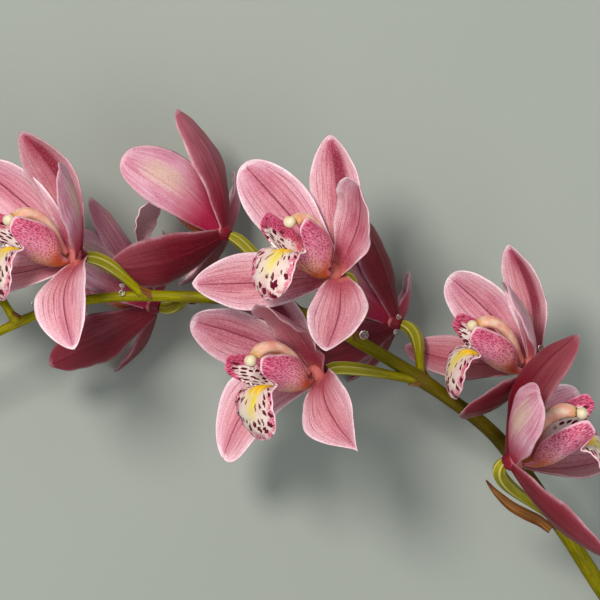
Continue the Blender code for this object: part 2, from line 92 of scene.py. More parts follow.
# Sepals, petals and the hub that they grow from
CLAW_SHARE = 0.30
CLAW_CURVE = 1.15
BLADE_THICKNESS = 1.0
EDGE_THICKNESS = 0.4
TEPAL_CUP = 0.5
BLADE_ROWS = 64
BLADE_COLUMNS = 26
BLADE_SPACING = 1.3
CREASE_DEPTH = 0.45
CREASE_WIDTH = 0.10
EDGE_BEATS = 2.4
FINE_BEATS = 6.3
HUB_FRONT = 3.5
HUB_BACK = -4.0
HUB_SHARES = (0, 0.4, 0.64, 1)
HUB_RADII = (2.4, 4.0, 4.2, 3.2)
HUB_STEPS = 14
HUB_SIDES = 24
HUB_TONE_AT = 0.06
SEAT_GAP = 0.3
BEHIND_PETALS = 1.4
CLAW_START = 2.2

# Lip: its middle line as height over the throat axis and distance forward of the hub
LIP_LINE = ((-2.6, 3.8), (-4.0, 9), (-3, 16), (0, 23), (2.2, 28.5), (1.5, 33), (-4, 36.5), (-11, 37),
            (-15.8, 35.6), (-18.6, 33.2))
# At shares of that line: half the width round the curve, how far the edges turn up in radians,
# and how far the side lobes lean forward
LIP_SHARES = (0, 0.1, 0.2, 0.3, 0.36, 0.40, 0.425, 0.45, 0.52, 0.62, 0.72, 0.82, 0.91, 0.97)
LIP_HALF_WIDTHS = (2.8, 8.6, 20.5, 26.6, 27, 22, 16.5, 11, 10.4, 12.4, 12.8, 12, 9.2, 5)
LIP_TURNS = (1.2, 1.9, 2.0, 2.08, 2.05, 1.8, 1.35, 0.6, 0.1, -0.1, -0.3, -0.45, -0.5, -0.4)
LIP_LEANS = (0, 0, 0.25, 0.72, 0.93, 1.2, 1.45, 1.2, 0.3, 0, 0, 0, 0, 0)
LIP_THICKNESS = 0.8
LIP_ROUND_FROM = 0.72
LIP_FRONT_HALF_WIDTH = 12.8
LEAST_TURN = 0.02
LIP_RUFFLE = 0.35
LIP_BEATS = 9.0
KEEL_ASIDE = 1.7
KEEL_WIDTH = 0.9
THROAT_MOUTH = 0.46
RAYS_ROUND = 5.0
RAYS_OUT = 0.17
LIP_SPACING = ((0, 0.35, 0.65, 1), (0, 0.33, 0.50, 1))
LIP_ROWS = 108
LIP_COLUMNS = 56

# Column and its anther cap
COLUMN_LINE = ((1.3, 4.9), (5.4, 8.4), (11.3, 12.8), (15.8, 18.6), (17.2, 24.6), (15.6, 28.9))
COLUMN_HALF_WIDTHS = (1.8, 2.8, 4.0, 4.6, 4.6, 3.4)
COLUMN_HALF_DEPTHS = (1.4, 2.2, 2.8, 3.2, 3.1, 2.3)
COLUMN_STEPS = 36
COLUMN_SIDES = 40
COLUMN_HOLLOW = 0.55
CAP_RADII = (2.9, 2.5, 2.4)
CAP_STEPS = 26
CAP_SIDES = 32
CAP_GROOVE = 0.13
CAP_NOTCH = 0.08

# Buds
BUD_RADIUS = 0.25
BUD_FLATNESS = 0.86
BUD_SEAM = 0.07
BUD_STEPS = 54
BUD_SIDES = 45
BUD_STALK_STEPS = 24
BUD_STALK_SIDES = 24
BUD_STALK_RADII = ((0, 0.5, 0.85, 1), (1.3, 1.4, 1.8, 1.9))
BUDS = {
    "bud_1": {"base": (-168, -38, 49.5), "points": (-0.84, -0.52, -0.05), "length": 24, "stalk": 0.012},
    "bud_2": {"base": (-158, -22, 58), "points": (-0.80, -0.12, 0.58), "length": 29, "stalk": 0.05},
}

# Dry bract, and the scale under each stalk
BRACT_LINE = ((105.8, -97.0, 47.2), (101, -93.2, 49.5), (95, -90.2, 52), (88.5, -86.4, 55), (82, -80.5, 58),
              (78, -75.5, 60))
BRACT_WIDTH = 6.0
BRACT_THICKNESS = 0.7
BRACT_CURL = 1.3
BRACT_WAVE = 0.35
BRACT_ROWS = 60
BRACT_COLUMNS = 16
SCALE_LENGTH = 8.0
SCALE_HALF_WIDTH = 2.7
SCALE_THICKNESS = 0.4
SCALE_BELOW = 3.0
SCALE_ROWS = 24
SCALE_COLUMNS = 10

# Nectar drops as photo pixel, height over the floor and radius
DROPS = (
    (34, 304, 63.0, 1.3), (122, 286, 64.5, 1.1), (122, 293, 64.0, 1.4), (216, 241, 49.0, 1.6),
    (364, 335, 66.0, 2.0), (399, 317, 44.0, 1.1), (396, 332, 41.5, 1.2), (541, 348, 72.0, 1.4),
)
DROP_SAG = 0.85
DROP_STEPS = 16
DROP_SIDES = 24

# Studio, in metres and watts
FLOOR_SIZE = 12.0
SKY_TONE = (226, 232, 236)
SKY_STRENGTH = 0.53
LAMPS = (
    ("key", (-0.46, 0.56, 1.50), 0.42, 21.5, (1.0, 0.97, 0.92)),
    ("fill", (0.75, -0.6, 1.4), 1.4, 9.0, (0.92, 0.96, 1.0)),
)
LAMPS_AIM = (0, 0, 0.06)

# Width, share where it is widest, bluntness of the tip, distance behind the hub, and kind
TEPALS = {
    "dorsal": (23.5, 0.58, 0.62, BEHIND_PETALS, 2.0),
    "lateral_a": (25.5, 0.58, 0.62, BEHIND_PETALS, 1.0),
    "lateral_b": (25.5, 0.58, 0.62, BEHIND_PETALS, 1.0),
    "petal_a": (27.0, 0.62, 0.42, 0.0, 0.0),
    "petal_b": (27.0, 0.62, 0.42, 0.0, 0.0),
}
# How far a tepal bows back in the middle and sways aside where its row doesn't say
USUAL_BEND = (-4, 0)


def bloom(hub, faces, top, size, stalk, *tepals, **others):
    """A bloom's hub, throat and top directions, size and place of its stalk on the stem, then its tepals.

    Each tepal is its tip from the hub and its turn in degrees, and may end with its bow and sway.
    """
    pose = {"hub": np.array(hub, dtype=float), "faces": faces, "top": top, "size": size, "stalk": stalk}
    for kind, tepal in zip(TEPALS, tepals):
        pose[kind] = tepal + USUAL_BEND[len(tepal) - 2:]
    return {**pose, **others}


# The blooms as in the solids, from the cut end to the tip
BLOOMS = {
    "bloom_1": bloom(
        (88, -66.5, 92), (0.97, 0.2, 0.14), (-0.24, 0.89, 0.4), 1.03, 0.685,
        ((26.5, 52, 8), -132, -6, 3), ((37, -38, 24), 110), ((44, 0, -34), 60), ((9, 28, 45), -119, -4, 1),
        ((30, 26, -38), -23, -6), neck=(0.7, 0.65, -0.25)),
    "bloom_2": bloom(
        (97, -28, 67), (-0.94, 0.13, 0.32), (0.17, 0.97, 0.2), 0.95, 0.6,
        ((-10, 51, 6), 45, -6), ((-31, -19, 34), -110), ((-53, 8, -26), -40), ((-12, 34, 40), 88),
        ((-34, 38, -18), 22, -5)),
    "bloom_3": bloom(
        (39.5, -9, 40), (-0.9, 0.3, -0.3), (0.25, 0.95, 0.15), 0.97, 0.5,
        ((-17, 47, 8), 128, -4, 1), ((-47, -19, 4), -150), ((-18, -25, -42), -90), ((-38, 32, 20), 160),
        ((5, 14, -41), 90)),
    "bloom_4": bloom(
        (7.5, -30.5, 74), (-0.77, -0.28, 0.58), (-0.22, 0.96, 0.17), 1.02, 0.5,
        ((-34, 41, -2), 25), ((16, -31, 46), -25, 5, -2), ((-40, -36, -20), -12, -4, -11),
        ((-22, 28, 45), 65), ((-53, 22, -6), 30), taper={"lateral_a": 1.25, "lateral_b": 0.44}),
    "bloom_5": bloom(
        (14.5, 11.5, 83), (-0.7, 0.2, 0.69), (0.22, 0.97, -0.06), 1.0, 0.427,
        ((-2, 57, 2), 20, -5), ((-4, -32, 46), -12, 2, 3), ((-59, -5, 6), -12, -5),
        ((9, 36, 43), 48, -4, -1), ((-38, 45, 0), 8, -5)),
    "bloom_6": bloom(
        (-33, 28.5, 47), (-0.88, 0.37, -0.3), (0.33, 0.92, 0.15), 0.97, 0.37,
        ((-19, 52, 2), 123, -7), ((-48, -16, 20), -150, -4, 2), ((-17, -20, -48), -90),
        ((-41, 32, 18), 162, -4, -3), ((4, 21, -46.5), 90)),
    "bloom_7": bloom(
        (-63, -2.5, 41), (-0.93, 0.15, -0.3), (0.06, 0.97, 0.2), 0.95, 0.275,
        ((-26, 46, 0), 118, -7, 4.5), ((-43, -25, 4), -150, -4, -1), ((-16, -27, -41.5), -90),
        ((-38, 29, 18), 155), ((4, 29, -41.5), 90)),
    "bloom_8": bloom(
        (-93, 18, 80), (-0.89, 0.01, 0.46), (0.04, 1.0, 0.07), 1.0, 0.235,
        ((-23, 52, 1), 32, -6, -2), ((1, -38, 42), -30, 5, -3), ((-52, -8, -13), -40), ((-5, 35, 44), 101),
        ((-42, 38, -18), 20)),
    "bloom_9": bloom(
        (-144, 16, 48), (-0.9, 0.3, -0.3), (0.25, 0.95, 0.15), 0.92, 0.115,
        ((-19, 49, 1), 123, -7), ((-43, -16, 22), -150), ((-18, -20, -48), -90), ((-37, 28, 22), 160),
        ((2, 25, -48), 90)),
}
# Crinkle of an edge in millimetres where it is more than the usual
EDGE_WAVE = 0.45
WAVES = {("bloom_4", "petal_a"): 1.6, ("bloom_5", "petal_a"): 0.7, ("bloom_7", "lateral_a"): 1.0}

# Sepals whose back is paler, as their kind between a petal's 0 and a sepal's 1, and how much painted shade
# darkens the tepals that lie in shade; the others take a random deeper tone up to the last number
SORTS = {("bloom_7", "dorsal"): 0.45, ("bloom_6", "dorsal"): 0.62}
PAINTED_SHADE_DEPTHS = {
    ("bloom_3", "dorsal"): 0.9, ("bloom_3", "petal_a"): 0.8, ("bloom_3", "lateral_a"): 1.0,
    ("bloom_3", "lateral_b"): 1.0, ("bloom_7", "lateral_a"): 1.0, ("bloom_7", "lateral_b"): 0.9,
    ("bloom_1", "dorsal"): 0.9, ("bloom_1", "lateral_a"): 0.5, ("bloom_1", "lateral_b"): 0.6,
    ("bloom_4", "petal_a"): 1.0, ("bloom_4", "petal_b"): 0.5, ("bloom_6", "lateral_a"): 0.7,
    ("bloom_2", "lateral_b"): 1.0, ("bloom_2", "lateral_a"): 1.0, ("bloom_8", "dorsal"): 0.8,
}
DEPTH_SPREAD = 0.25

# Each piece's pattern starts at a number of its own
SEED_MOST = 60
SEED_SHIFT = 40
rng = np.random.default_rng(7)


def unit(vector):
    vector = np.asarray(vector, dtype=float)
    return vector / np.linalg.norm(vector)


def unit_rows(rows):
    return rows / np.maximum(np.linalg.norm(rows, axis=-1, keepdims=True), 1e-9)


def even(steps):
    """Shares from 0 to 1 at even steps."""
    return np.linspace(0, 1, steps + 1)


def circle(sides):
    """Angles at even steps round a ring."""
    return np.arange(sides) * (2 * math.pi / sides)


def ramp(value, start, over):
    """0 up to a start, then rising to 1 over a distance."""
    return np.clip((value - start) / over, 0, 1)


def bump(value, at, width):
    """A smooth bump of height 1 at one value."""
    return np.exp(-((value - at) / width) ** 2)


def same_rings(radius, sides):
    """Round rings: each radius repeated for every side."""
    return np.repeat(radius[:, None], sides, axis=1)


def skin(across, along, seed):
    """Material coordinates in millimetres, with a number of the piece's own as the third."""
    return np.column_stack([across, along, np.full(len(across), seed)])


def add_object(name, data):
    made = bpy.data.objects.new(name, data)
    bpy.context.scene.collection.objects.link(made)
    return made


def smooth_line(points, steps):
    """Points at even distances along a smooth curve through the given ones."""
    points = np.asarray(points, dtype=float)
    ends = np.vstack([2 * points[0] - points[1], points, 2 * points[-1] - points[-2]])
    dense = []
    for i in range(1, len(ends) - 2):
        a, b, c, d = ends[i - 1:i + 3]
        for u in np.linspace(0, 1, 16, endpoint=False):
            dense.append(0.5 * (2 * b + (c - a) * u + (2 * a - 5 * b + 4 * c - d) * u ** 2
                                + (3 * b - a - 3 * c + d) * u ** 3))
    dense.append(ends[-2])
    dense = np.array(dense)
    reach = np.concatenate([[0], np.cumsum(np.linalg.norm(np.diff(dense, axis=0), axis=1))])
    wanted = np.linspace(0, reach[-1], steps + 1)
    return np.column_stack([np.interp(wanted, reach, dense[:, k]) for k in range(dense.shape[1])])


def smooth_table(shares, values, wanted):
    """The table's values without corners: a curve through them that never overshoots."""
    shares, values = np.asarray(shares, float), np.asarray(values, float)
    steps = np.diff(values) / np.diff(shares)
    slopes = np.zeros(len(values))
    same = steps[1:] * steps[:-1] > 0
    slopes[1:-1] = np.where(same, 2 * steps[1:] * steps[:-1] / np.where(same, steps[1:] + steps[:-1], 1), 0)
    slopes[0], slopes[-1] = steps[0], steps[-1]
    at = np.clip(np.searchsorted(shares, wanted) - 1, 0, len(steps) - 1)
    gap = shares[at + 1] - shares[at]
    u = np.clip((wanted - shares[at]) / gap, 0, 1)
    return (values[at] * (2 * u ** 3 - 3 * u ** 2 + 1) + values[at + 1] * (3 * u ** 2 - 2 * u ** 3)
            + gap * (slopes[at] * (u ** 3 - 2 * u ** 2 + u) + slopes[at + 1] * (u ** 3 - u ** 2)))


def bloom_frame(pose):
    """Right, top and facing directions of a bloom, square to each other."""
    faces = unit(pose["faces"])
    top = np.asarray(pose["top"], dtype=float)
    top = unit(top - faces * np.dot(top, faces))
    return np.cross(top, faces), top, faces


def place(pose, right, top, forward):
    """Points of the bloom given by its own three measures, in the measuring frame."""
    x, y, z = bloom_frame(pose)
    local = (np.multiply.outer(right, x) + np.multiply.outer(top, y) + np.multiply.outer(forward, z))
    return np.asarray(pose["hub"], dtype=float) + local * pose["size"]


def above_floor(points):
    """Bends what would reach below the surface until it lies on it."""
    points = points.copy()
    points[..., 2] = (points[..., 2] + np.sqrt(points[..., 2] ** 2 + FLOOR_SOFTNESS ** 2)) / 2
    return points


class Shape:
    """Vertices, faces and per-vertex numbers of one piece, gathered part by part.

    Every part of a piece gives the same names; one number stands for all of a part's points.
    """

    def __init__(self):
        self.points, self.faces, self.numbers, self.count = [], [], {}, 0

    def add(self, points, faces, **numbers):
        self.faces += [tuple(int(k) + self.count for k in face) for face in faces]
        self.points.append(np.asarray(points, dtype=float))
        for key, value in numbers.items():
            value = np.asarray(value, dtype=float)
            if value.ndim == 0:
                value = np.full(len(points), float(value))
            self.numbers.setdefault(key, []).append(value)
        self.count += len(points)

    def piece(self, name, look, nodes=()):
        mesh = bpy.data.meshes.new(name)
        points = (np.vstack(self.points) - FRAME_SHIFT) * MM
        mesh.from_pydata(points.tolist(), [], self.faces)
        mesh.validate()
        mesh.shade_smooth()
        for key, parts in self.numbers.items():
            values = np.concatenate(parts)
            if values.ndim == 1:
                made = mesh.attributes.new(key, "FLOAT", "POINT")
                made.data.foreach_set("value", values.astype(np.float32))
            else:
                made = mesh.attributes.new(key, "FLOAT_VECTOR", "POINT")
                made.data.foreach_set("vector", values.astype(np.float32).ravel())
        mesh.materials.append(look)
        made = add_object(name, mesh)
        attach(made, "root")
        if nodes:
            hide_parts(*nodes)
        return made


def closed_sheet(grid, thickness):
    """A closed blade over a grid of middle points whose last row is its tip.

    Returns points, faces, and each point's row, column and side, which is 1 in front.
    """
    rows, columns = grid.shape[0] - 1, grid.shape[1]
    normals = unit_rows(np.cross(np.gradient(grid, axis=1), np.gradient(grid, axis=0)))
    half = thickness[..., None] / 2
    front = (grid + normals * half)[:rows].reshape(-1, 3)
    back = (grid - normals * half)[:rows].reshape(-1, 3)
    tip = grid[rows].mean(axis=0)
    tip_normal = unit(normals[rows - 1].mean(axis=0)) * thickness[rows].mean() / 2
    points = np.vstack([front, back, tip + tip_normal, tip - tip_normal])
    under = len(front)
    tips = (2 * under, 2 * under + 1)
    faces = []
    for i in range(rows - 1):
        for j in range(columns - 1):
            a = i * columns + j
            b, c, d = a + 1, a + columns + 1, a + columns
            faces.append((a, b, c, d))
            faces.append((under + d, under + c, under + b, under + a))
    top = (rows - 1) * columns
    for j in range(columns - 1):
        faces.append((top + j, top + j + 1, tips[0]))
        faces.append((under + top + j + 1, under + top + j, tips[1]))
    rim = list(range(columns)) + [i * columns + columns - 1 for i in range(1, rows)] + [None]
    rim += [i * columns for i in range(rows - 1, 0, -1)]
    for a, b in zip(rim, rim[1:] + rim[:1]):
        upper = [tips[0] if k is None else k for k in (a, b)]
        lower = [tips[1] if k is None else k + under for k in (a, b)]
        faces.append((upper[1], upper[0], lower[0], lower[1]))
    row = np.repeat(np.arange(rows), columns)
    column = np.tile(np.arange(columns), rows)
    row = np.concatenate([row, row, [rows, rows]])
    column = np.concatenate([column, column, [columns // 2, columns // 2]])
    side = np.concatenate([np.ones(under), np.zeros(under), [1, 0]])
    return points, faces, row, column, side


def tube(centres, radii, end_way=None):
    """A closed rod with a row of radii at each centre; returns points, faces, share and angle."""
    sides = radii.shape[1]
    tangents = np.gradient(centres, axis=0)
    if end_way is not None:
        tangents[-1] = end_way
    over = unit(np.cross(tangents[0], (0.3, 0.2, 1.0)))
    angles = circle(sides)
    points = []
    for centre, tangent, radius in zip(centres, tangents, radii):
        tangent = unit(tangent)
        over = unit(over - tangent * np.dot(over, tangent))
        across = np.cross(over, tangent)
        points.append(centre + np.outer(radius * np.cos(angles), across)
                      + np.outer(radius * np.sin(angles), over))
    return close_rings(points, centres, sides)


def close_rings(points, centres, sides):
    """Faces between the rings and a fan over each end, with each point's share and angle."""
    count = len(points)
    faces = []
    for i in range(count - 1):
        p = i * sides
        for j in range(sides):
            k = (j + 1) % sides
            faces.append((p + j, p + k, p + sides + k, p + sides + j))
    last = (count - 1) * sides
    ends = count * sides
    for j in range(sides):
        k = (j + 1) % sides
        faces.append((k, j, ends))
        faces.append((last + j, last + k, ends + 1))
    share = np.repeat(np.linspace(0, 1, count), sides)
    angle = np.tile(np.arange(sides) / sides, count)
    share = np.concatenate([share, [0, 1]])
    angle = np.concatenate([angle, [0, 0]])
    return np.vstack(points + [centres[:1], centres[-1:]]), faces, share, angle


def tone(red, green, blue):
    """A colour as a screen shows it, made linear."""
    values = [c / 255 for c in (red, green, blue)]
    linear = [c / 12.92 if c <= 0.04045 else ((c + 0.055) / 1.055) ** 2.4 for c in values]
    return (*linear, 1.0)


def put(socket, value):
    """A value is a number, another socket, or a colour as three numbers from 0 to 255."""
    if isinstance(value, bpy.types.NodeSocket):
        socket.id_data.links.new(value, socket)
    elif isinstance(value, tuple):
        socket.default_value = tone(*value)
    elif value is not None:
        socket.default_value = value


def add_node(kind, inputs, output=0, **settings):
    """The output of a new node that stands beside the first of its inputs that is a socket."""
    tree = next(value.id_data for value in inputs.values() if isinstance(value, bpy.types.NodeSocket))
    node = tree.nodes.new("ShaderNode" + kind)
    for name, setting in settings.items():
        setattr(node, name, setting)
    for key, value in inputs.items():
        put(node.inputs[key], value)
    return node.outputs[output]


def operate(operation, a, b=None, clamp=False):
    return add_node("Math", {0: a, 1: b}, operation=operation, use_clamp=clamp)


def positive(value):
    return operate("ABSOLUTE", value)


def plus(a, b, clamp=False):
    return operate("ADD", a, b, clamp)


def less(a, b):
    return operate("SUBTRACT", a, b)


def most(a, b):
    return operate("MAXIMUM", a, b)


def times(*values):
    result = values[0]
    for value in values[1:]:
        result = operate("MULTIPLY", result, value)
    return result


def ease(value, low, high, start=0.0, end=1.0):
    """A smooth step from start to end while the value goes from low to high."""
    inputs = {"Value": value, "From Min": low, "From Max": high, "To Min": start, "To Max": end}
    return add_node("MapRange", inputs, interpolation_type="SMOOTHSTEP")


def mix(share, a, b):
    return add_node("Mix", {0: share, 6: a, 7: b}, 2, data_type="RGBA", clamp_factor=True)


def layers(colour, *coats):
    """A colour under coats, each given as how much of it shows and its own colour."""
    for share, coat in coats:
        colour = mix(share, colour, coat)
    return colour


def scaled(vector, x, y):
    return add_node("VectorMath", {0: vector, 1: Vector((x, y, 1.0))}, operation="MULTIPLY")


def shaken(vector, value, amount):
    """The vector moved both ways by how far a value lies from a half."""
    inputs = {0: less(value, 0.5), 1: Vector((amount, amount, 0.0)), 2: vector}
    return add_node("VectorMath", inputs, operation="MULTIPLY_ADD")


def noise(vector, scale=1.0, detail=2.0, rough=0.5):
    inputs = {"Vector": vector, "Scale": scale, "Detail": detail, "Roughness": rough}
    return add_node("TexNoise", inputs)


def cells(vector, scale, spread=1.0):
    """How far each point is from the middle of its cell."""
    inputs = {"Vector": vector, "Scale": scale, "Randomness": spread}
    return add_node("TexVoronoi", inputs, voronoi_dimensions="2D")


def lines(value, count, width, warp=0.0):
    """1 on each of a number of lines over a value's unit range, 0 between them."""
    return ease(operate("PINGPONG", plus(times(value, count), warp), 0.5), width, 0.0)


class Look:
    """One material: reads a mesh's numbers by name and takes the finished colour and height."""

    def __init__(self, name, roughness, specular):
        self.material = bpy.data.materials.new(name)
        self.material.use_nodes = True
        self.tree = self.material.node_tree
        self.shader = self.tree.nodes["Principled BSDF"]
        self.shader.inputs["Roughness"].default_value = roughness
        self.shader.inputs["Specular IOR Level"].default_value = specular

    def read(self, *names):
        """The numbers of these names, or the only one of them; flat, lane and rays are vectors."""
        found = []
        for name in names:
            node = self.tree.nodes.new("ShaderNodeAttribute")
            node.attribute_name = name
            found.append(node.outputs["Vector" if name in ("flat", "lane", "rays") else "Fac"])
        return found if len(found) > 1 else found[0]

    def flesh(self, weight, radius, scale):
        self.shader.inputs["Subsurface Weight"].default_value = weight
        self.shader.inputs["Subsurface Radius"].default_value = radius
        self.shader.inputs["Subsurface Scale"].default_value = scale

    def finish(self, colour, height, strength=0.3, distance=0.0002, roughness=None):
        put(self.shader.inputs["Base Color"], colour)
        put(self.shader.inputs["Roughness"], roughness)
        node = self.tree.nodes.new("ShaderNodeBump")
        node.inputs["Strength"].default_value = strength
        node.inputs["Distance"].default_value = distance
        put(node.inputs["Height"], height)
        put(self.shader.inputs["Normal"], node.outputs["Normal"])
        return self.material


def tepal_look():
    """Pink inside with darker veins and a pale margin, burgundy behind; petals are paler behind. The burgundy
    is partly painted shade, some tepals get more painted shade, and pale specks are painted glints.
    """
    look = Look("tepal_skin", 0.45, 0.2)
    t, s, side, kind = look.read("t", "s", "side", "kind")
    flat, lane, tint = look.read("flat", "lane", "tint")
    edge = positive(s)
    sepal = ease(kind, 0.2, 0.8)
    dorsal = ease(kind, 1.2, 1.8)
    stretched = scaled(lane, 0.30, 0.045)
    warp = times(less(noise(stretched), 0.5), 1.1)
    main = lines(s, 5.5, 0.12, warp)
    fine = lines(s, 14.0, 0.22, times(warp, 2.6))
    patchy = noise(scaled(lane, 0.16, 0.05), 1.0, 3.0)
    veins = plus(times(main, ease(patchy, 0.25, 0.7, 0.35, 1.0)),
                 times(fine, ease(patchy, 0.35, 0.7, 0.15, 0.8)), clamp=True)
    veins = times(veins, ease(edge, 0.98, 0.78), ease(t, 0.99, 0.86))
    rib = times(ease(edge, 0.05, 0.012), ease(t, 0.02, 0.3))
    cloud = noise(scaled(flat, 0.09, 0.07), 1.0, 3.0)
    streak = noise(scaled(lane, 0.75, 0.05), 1.0, 3.0, 0.6)
    speck = noise(flat, 2.0, 2.0, 0.6)
    grain = noise(flat, 3.2, 2.0, 0.7)
    ragged = times(less(noise(flat, 0.5), 0.5), 0.12)
    rim = plus(edge, ragged)
    tip = plus(t, times(ragged, 0.5))
    margin = most(ease(rim, 0.84, 0.98), ease(tip, 0.95, 0.99))
    margin = times(margin, ease(noise(scaled(flat, 0.0, 0.12)), 0.35, 0.62, 0.45, 1.0))
    light = most(ease(rim, 0.30, 0.95), ease(tip, 0.72, 0.98))
    # Front
    beside = positive(less(s, 0.22))
    # Painted shade: a dark stripe beside the dorsal's middle, where its fold lies in shadow
    painted_fold_shade = times(dorsal, ease(beside, 0.46, 0.10), ease(t, 0.22, 0.5), ease(t, 0.97, 0.82))
    pink = layers(
        mix(ease(cloud, 0.3, 0.7), (226, 160, 172), (210, 126, 144)),
        (times(sepal, ease(cloud, 0.25, 0.7), 0.7), (228, 168, 164)),
        (ease(streak, 0.42, 0.66, 0.0, 0.55), (234, 178, 190)),
        (ease(streak, 0.52, 0.3, 0.0, 0.45), (180, 70, 102)),
        (times(light, 0.62), (240, 202, 214)),
        (times(ease(edge, 0.5, 0.05), ease(t, 0.1, 0.5), 0.35), (176, 64, 98)),
        (times(ease(t, 0.46, 0.06), 0.85), (166, 40, 70)),
        (ease(t, 0.13, 0.03), (206, 120, 106)),
        (times(ease(t, 0.66, 0.92), ease(edge, 0.75, 0.15), plus(times(dorsal, 0.45), 0.4)), (174, 60, 92)),
        (times(painted_fold_shade, 0.9), (128, 20, 52)),
        (times(veins, 0.6), (140, 28, 64)),
        (times(rib, 0.8), (114, 22, 48)),
        (times(margin, 0.85), (248, 232, 236)),
    )
    # Back
    # The back's deep burgundy: partly the sepals' own maroon, partly painted shade deepening it
    wine_and_shade = layers(
        mix(ease(cloud, 0.3, 0.7), (122, 16, 34), (98, 6, 24)),
        (ease(streak, 0.45, 0.66, 0.0, 0.35), (158, 50, 68)),
        (times(ease(t, 0.45, 0.98), plus(times(dorsal, 0.5), 0.35)), (180, 90, 102)),
        (times(ease(edge, 0.55, 0.98), 0.45), (176, 86, 102)),
        (times(veins, 0.5), (74, 4, 20)),
        (times(ease(edge, 0.1, 0.02), 0.5), (76, 8, 22)),
    )
    pale = layers(
        mix(ease(cloud, 0.3, 0.7), (210, 154, 170), (196, 124, 146)),
        (ease(streak, 0.45, 0.66, 0.0, 0.5), (234, 194, 202)),
        (times(ease(edge, 0.55, 0.1), ease(t, 0.35, 0.6), ease(t, 0.95, 0.7), ease(kind, 0.3, 0.1), 0.6),
         (206, 184, 152)),
        (ease(t, 0.66, 0.14), (172, 28, 66)),
        (times(veins, 0.45), (150, 50, 84)),
    )
    back = mix(sepal, pale, wine_and_shade)
    back = mix(times(margin, 0.6), back, (226, 186, 194))
    # Painted glints: pale specks standing in for the sparkle of light on the petal cells
    painted_glints = mix(side, (168, 66, 84), (255, 196, 210))
    height = plus(times(veins, -0.6), times(speck, 0.6))
    look.flesh(0.06, (1.0, 0.35, 0.32), 0.0008)
    colour = layers(
        mix(ease(side, 0.3, 0.7), back, pink),
        # Painted shade on the tepals listed as lying in shade, a random deeper tone on the rest
        (times(tint, 0.6), mix(side, (84, 2, 14), (140, 30, 46))),
        (ease(speck, 0.54, 0.72, 0.0, 0.26), painted_glints),
        (ease(speck, 0.47, 0.32, 0.0, 0.4), (118, 8, 44)),
    )
    return look.finish(colour, height, 0.45, 0.0003, ease(grain, 0.2, 0.8, 0.36, 0.52))


